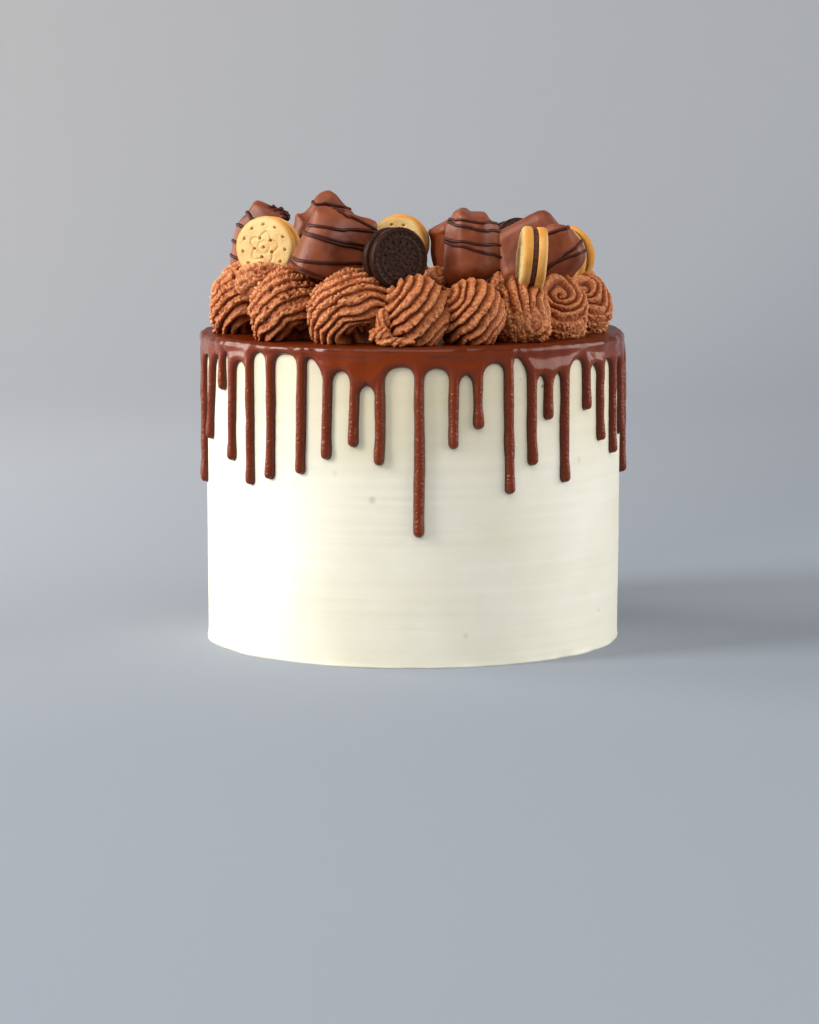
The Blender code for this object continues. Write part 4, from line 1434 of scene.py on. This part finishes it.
def drizzle_tree(material):
    """Threads of chocolate laid round a piece: each starts as a ring round a middle point,
    drops onto the surface and keeps its thickness, which varies along it."""
    tree, given = new_geometry_tree("drizzle", (
        ("Threads", "Geometry"), ("Piece", "Object"), ("Reach", "Float"), ("Wobble", "Float"),
        ("Seed", "Float"),
    ))
    middle = add_node(tree, "GeometryNodeInputPosition")
    threads = add_node(tree, "GeometryNodeStoreNamedAttribute", {
        "Geometry": given.outputs["Threads"], "Name": "middle", "Value": middle,
    }, data_type="FLOAT_VECTOR", domain="POINT")
    across = add_node(
        tree, "GeometryNodeInputNamedAttribute", {"Name": "across"}, data_type="FLOAT_VECTOR"
    )
    turn = add_node(tree, "FunctionNodeAlignRotationToVector", {"Vector": across}, axis="Z")
    ring = add_node(tree, "GeometryNodeCurvePrimitiveCircle", {
        "Resolution": 120, "Radius": given.outputs["Reach"],
    })
    rings = add_node(tree, "GeometryNodeInstanceOnPoints", {
        "Points": threads, "Instance": ring, "Rotation": turn,
    })
    rings = add_node(tree, "GeometryNodeRealizeInstances", {"Geometry": rings})
    place = add_node(tree, "GeometryNodeInputPosition")
    waver = add_node(tree, "ShaderNodeTexNoise", {
        "Vector": place, "W": given.outputs["Seed"], "Scale": 45.0, "Detail": 0.0,
    }, noise_dimensions="4D", output=1)
    waver = add_node(tree, "ShaderNodeVectorMath", {0: waver, 1: HALF_GREY}, operation="SUBTRACT")
    waver = add_node(tree, "ShaderNodeVectorMath", {
        0: waver, "Scale": given.outputs["Wobble"],
    }, operation="SCALE")
    target = add_node(
        tree, "GeometryNodeInputNamedAttribute", {"Name": "middle"}, data_type="FLOAT_VECTOR"
    )
    target = add_node(tree, "ShaderNodeVectorMath", {0: target, 1: waver}, operation="ADD")
    inward = add_node(tree, "ShaderNodeVectorMath", {0: target, 1: place}, operation="SUBTRACT")
    surface = add_node(tree, "GeometryNodeObjectInfo", {
        "Object": given.outputs["Piece"],
    }, output="Geometry", transform_space="ORIGINAL")
    hit = add_node(tree, "GeometryNodeRaycast", {
        "Target Geometry": surface, "Source Position": place, "Ray Direction": inward,
        "Ray Length": 0.05,
    })
    landed = hit.node.outputs["Hit Position"]
    rings = add_node(tree, "GeometryNodeSetPosition", {
        "Geometry": rings, "Selection": hit, "Position": landed,
    })
    thread = add_node(
        tree, "GeometryNodeInputNamedAttribute", {"Name": "thread"}, data_type="FLOAT"
    )
    place = add_node(tree, "GeometryNodeInputPosition")
    swell = add_node(tree, "ShaderNodeTexNoise", {
        "Vector": place, "W": given.outputs["Seed"], "Scale": 260.0, "Detail": 2.0,
    }, noise_dimensions="4D")
    swell = add_node(tree, "ShaderNodeMapRange", {"Value": swell, "To Min": 1.2, "To Max": 1.85})
    thread = add_node(tree, "ShaderNodeMath", {0: thread, 1: swell}, operation="MULTIPLY")
    section = add_node(tree, "GeometryNodeCurvePrimitiveCircle", {"Resolution": 8, "Radius": 1.0})
    cords = add_node(tree, "GeometryNodeCurveToMesh", {
        "Curve": rings, "Profile Curve": section, "Scale": thread, "Fill Caps": True,
    })
    finish_tree(tree, cords, material)
    return tree


# Drizzle threads: right and up from the piece's middle to the middle of the ring, the
# direction that the ring goes round (x, y, z), and the thread's radius
DRIZZLES = {
    "chocolate_tall": (
        (4, 12.0, 0.5, 0.1, 1, 0.42), (0, 7.1, 0.12, 0, 1, 0.45), (0, 3.0, 0.24, 0, 1, 0.4),
        (0, 2.0, 0.29, 0, 1, 0.42), (0, -5.5, 0.07, 0, 1, 0.45), (-3, -11.0, 0.4, 0, 1, 0.42),
    ),
    "chocolate_front": (
        (-2, 10.2, 0.1, 0.05, 1, 0.38), (0, 8.0, 0.2, -0.05, 1, 0.42), (0, 2.1, 0.12, 0, 1, 0.42),
        (0, -0.8, 0.28, 0.05, 1, 0.42),
    ),
    "chocolate_corner": (
        (-3, 7.6, -0.35, 0, 1, 0.45), (0, -1.2, -0.8, 0, 1, 0.45), (0, -2.7, -0.42, 0, 1, 0.42),
    ),
    "chocolate_left": (
        (0, 5.1, 0.96, 0, 1, 0.5), (0, 2.0, 0.3, 0.1, 1, 0.5), (0, -4.5, 0.3, 0, 1, 0.5),
        (0, -10.0, 0.3, -0.1, 1, 0.45),
    ),
    "chocolate_back_left": ((0, 8.8, 0.16, 0.1, 1, 0.42), (0, -3.0, -0.1, 0.1, 1, 0.42)),
}

# Broken bits of the coating: middle (x, y, z), and size
CHIPS = (
    (-55.5, 5.0, 165.5, 0.8), (-54.0, 6.0, 165.4, 1.1), (-52.4, 5.0, 165.0, 0.9),
    (-51.0, 6.5, 164.8, 1.2), (-49.6, 5.5, 164.2, 1.0), (-48.6, 5.0, 163.4, 1.3),
    (-47.6, 6.5, 162.3, 0.9), (-47.0, 5.0, 161.0, 1.2), (-46.4, 6.0, 159.5, 0.9),
    (-50.4, 3.5, 163.6, 0.7), (-48.8, 3.0, 161.4, 0.8), (-53.2, 3.5, 164.6, 0.7),
)


def chip_tree(material):
    """Broken bits set on the nearest place of a piece, each turned and dented its own way."""
    tree, given = new_geometry_tree("chips", (
        ("Places", "Geometry"), ("Piece", "Object"), ("Dent", "Float"), ("Seed", "Int"),
    ))
    surface = add_node(tree, "GeometryNodeObjectInfo", {
        "Object": given.outputs["Piece"],
    }, output="Geometry", transform_space="ORIGINAL")
    nearest = add_node(tree, "GeometryNodeProximity", {"Geometry": surface}, target_element="FACES")
    places = add_node(tree, "GeometryNodeSetPosition", {
        "Geometry": given.outputs["Places"], "Position": nearest.node.outputs["Position"],
    })
    size = add_node(
        tree, "GeometryNodeInputNamedAttribute", {"Name": "size"}, data_type="FLOAT"
    )
    turn = add_node(tree, "FunctionNodeRandomValue", {
        "Max": (6.28, 6.28, 6.28), "Seed": given.outputs["Seed"],
    }, data_type="FLOAT_VECTOR")
    chip = add_node(tree, "GeometryNodeMeshIcoSphere", {"Radius": 1.0, "Subdivisions": 3})
    chips = add_node(tree, "GeometryNodeInstanceOnPoints", {
        "Points": places, "Instance": chip, "Rotation": turn, "Scale": size,
    })
    chips = add_node(tree, "GeometryNodeRealizeInstances", {"Geometry": chips})
    place = add_node(tree, "GeometryNodeInputPosition")
    dents = add_node(tree, "ShaderNodeTexNoise", {"Vector": place, "Scale": 900.0}, output=1)
    dents = add_node(tree, "ShaderNodeVectorMath", {0: dents, 1: HALF_GREY}, operation="SUBTRACT")
    dents = add_node(tree, "ShaderNodeVectorMath", {
        0: dents, "Scale": given.outputs["Dent"],
    }, operation="SCALE")
    chips = add_node(tree, "GeometryNodeSetPosition", {"Geometry": chips, "Offset": dents})
    finish_tree(tree, chips, material)
    return tree


def marked_points(name, places, **marks):
    """An object of loose points, in millimetres, with attributes for a geometry tree."""
    mesh = bpy.data.meshes.new(name)
    mesh.from_pydata([tuple(Vector(place) * MM) for place in places], [], [])
    for label, values in marks.items():
        wide = np.ndim(values) > 1
        layer = mesh.attributes.new(label, "FLOAT_VECTOR" if wide else "FLOAT", "POINT")
        layer.data.foreach_set("vector" if wide else "value", np.ravel(values).astype(np.float32))
    piece = bpy.data.objects.new(name, mesh)
    bpy.context.scene.collection.objects.link(piece)
    return piece


def make_chocolates(chocolate, drizzle):
    """The chocolate pieces and their drizzle, and broken bits of coating on one of them."""
    threads_tree = drizzle_tree(drizzle)
    chips_tree = chip_tree(drizzle)
    for index, node in enumerate(CHOCOLATES):
        piece = moulded_copy(node, chocolate)
        keep_piece(piece, "milk_chocolate", node)
        middle = node_middle(node) / MM
        threads = DRIZZLES.get(node, ())
        added = []
        if threads:
            added.append(marked_points(
                f"{node}_drizzle", [middle + Vector((entry[0], 0, entry[1])) for entry in threads],
                across=[entry[2:5] for entry in threads], thread=[entry[5] * MM for entry in threads],
            ))
            add_tree(added[-1], threads_tree, {
                "Piece": piece, "Reach": DRIZZLE_RING * MM, "Wobble": DRIZZLE_WAVER * MM,
                "Seed": 2.3 * index,
            })
        if node == "chocolate_left":
            added.append(marked_points(
                f"{node}_chips", [chip[:3] for chip in CHIPS], size=[chip[3] * MM for chip in CHIPS],
            ))
            add_tree(added[-1], chips_tree, {"Piece": piece, "Dent": 1.3 * MM, "Seed": 4})
        for thing in added:
            apply_modifiers(thing)
            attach(thing, BODY)


# Stage, light and camera

def make_stage():
    """A plain pale floor that sweeps up behind the cake, painted matt. Its colour is paler to
    the back and to the left, painted light that stands in for the light from the windows."""
    material, tree, shader, place = new_material("painted studio floor", {"Roughness": 0.8})
    x = add_node(tree, "ShaderNodeSeparateXYZ", {0: place})
    # Painted light: the colour grows paler to the left, where the windows are, and to the back
    left = add_node(tree, "ShaderNodeMath", {0: x, 1: -0.8}, operation="MULTIPLY")
    painted_light_and_shade = add_node(
        tree, "ShaderNodeMath", {0: x.node.outputs["Y"], 1: 0.42, 2: left}, operation="MULTIPLY_ADD"
    )
    colour = add_node(tree, "ShaderNodeValToRGB", {"Fac": painted_light_and_shade})
    set_stops(colour, (0.0, "#8c94a2"), (0.38, "#a8aeb9"), (1.0, "#b4b7bf"))
    tree.links.new(colour, shader.inputs["Base Color"])
    profile = [(-FLOOR_FRONT, 0.0), (FLOOR_BACK, 0.0)]
    for turn in np.radians(np.linspace(5, 90, 18)):
        out, up = SWEEP_RADIUS * math.sin(turn), SWEEP_RADIUS * (1 - math.cos(turn))
        profile.append((FLOOR_BACK + out, up))
    profile.append((FLOOR_BACK + SWEEP_RADIUS, WALL_HEIGHT))
    points = [(x, y, z) for y, z in profile for x in (-FLOOR_HALF_WIDTH, FLOOR_HALF_WIDTH)]
    faces = [(2 * row, 2 * row + 1, 2 * row + 3, 2 * row + 2) for row in range(len(profile) - 1)]
    floor = make_object("studio_floor", np.array(points) / MM, faces, material)


def add_area_light(name, azimuth, elevation, distance, width, height, power, code):
    """A large soft light that faces the cake."""
    light = bpy.data.lights.new(name, "AREA")
    light.shape = "RECTANGLE"
    light.size = width
    light.size_y = height
    light.energy = power
    light.color = linear(code)[:3]
    lamp = bpy.data.objects.new(name, light)
    bpy.context.scene.collection.objects.link(lamp)
    turn, rise = math.radians(azimuth), math.radians(elevation)
    direction = Vector((
        math.sin(turn) * math.cos(rise), -math.cos(turn) * math.cos(rise), math.sin(rise),
    ))
    lamp.location = Vector((0, 0, LIT_HEIGHT)) + direction * distance
    lamp.rotation_euler = direction.to_track_quat("Z", "Y").to_euler()


def make_light():
    """Soft daylight from two large windows at the left, a pale ceiling and a pale wall at the
    right, and dim light from all round."""
    for name, values in LIGHTS.items():
        add_area_light(name, *values)
    world = bpy.data.worlds.new("studio walls")
    world.use_nodes = True
    background = world.node_tree.nodes["Background"]
    background.inputs["Color"].default_value = linear(WALL_COLOUR)
    background.inputs["Strength"].default_value = WALL_STRENGTH
    bpy.context.scene.world = world
    bpy.context.scene.view_settings.view_transform = "Standard"


def make_camera():
    """The camera, at the photo's angle."""
    camera = bpy.data.cameras.new("camera")
    camera.lens = CAMERA_LENS
    camera.sensor_width = 36
    holder = bpy.data.objects.new("camera", camera)
    bpy.context.scene.collection.objects.link(holder)
    holder.location = (CAMERA_SIDE, -CAMERA_DISTANCE, CAMERA_HEIGHT)
    holder.rotation_euler = (0.5 * math.pi - CAMERA_PITCH, 0, 0)
    bpy.context.scene.camera = holder


def main():
    """Build it all."""
    make_camera()
    make_icing(vanilla_buttercream())
    make_ganache(poured_ganache())
    make_swirls(chocolate_buttercream())
    make_biscuits({
        "golden_biscuit": golden_biscuit(),
        "dark_biscuit": dark_biscuit(),
        "chocolate_cream": biscuit_filling("chocolate biscuit filling", "#3d1b0d", "#6d3b20"),
        "vanilla_cream": biscuit_filling("vanilla biscuit filling", "#e6dcc6", "#f5efe0"),
    })
    make_chocolates(milk_chocolate(), drizzled_chocolate())
    make_stage()
    make_light()


main()
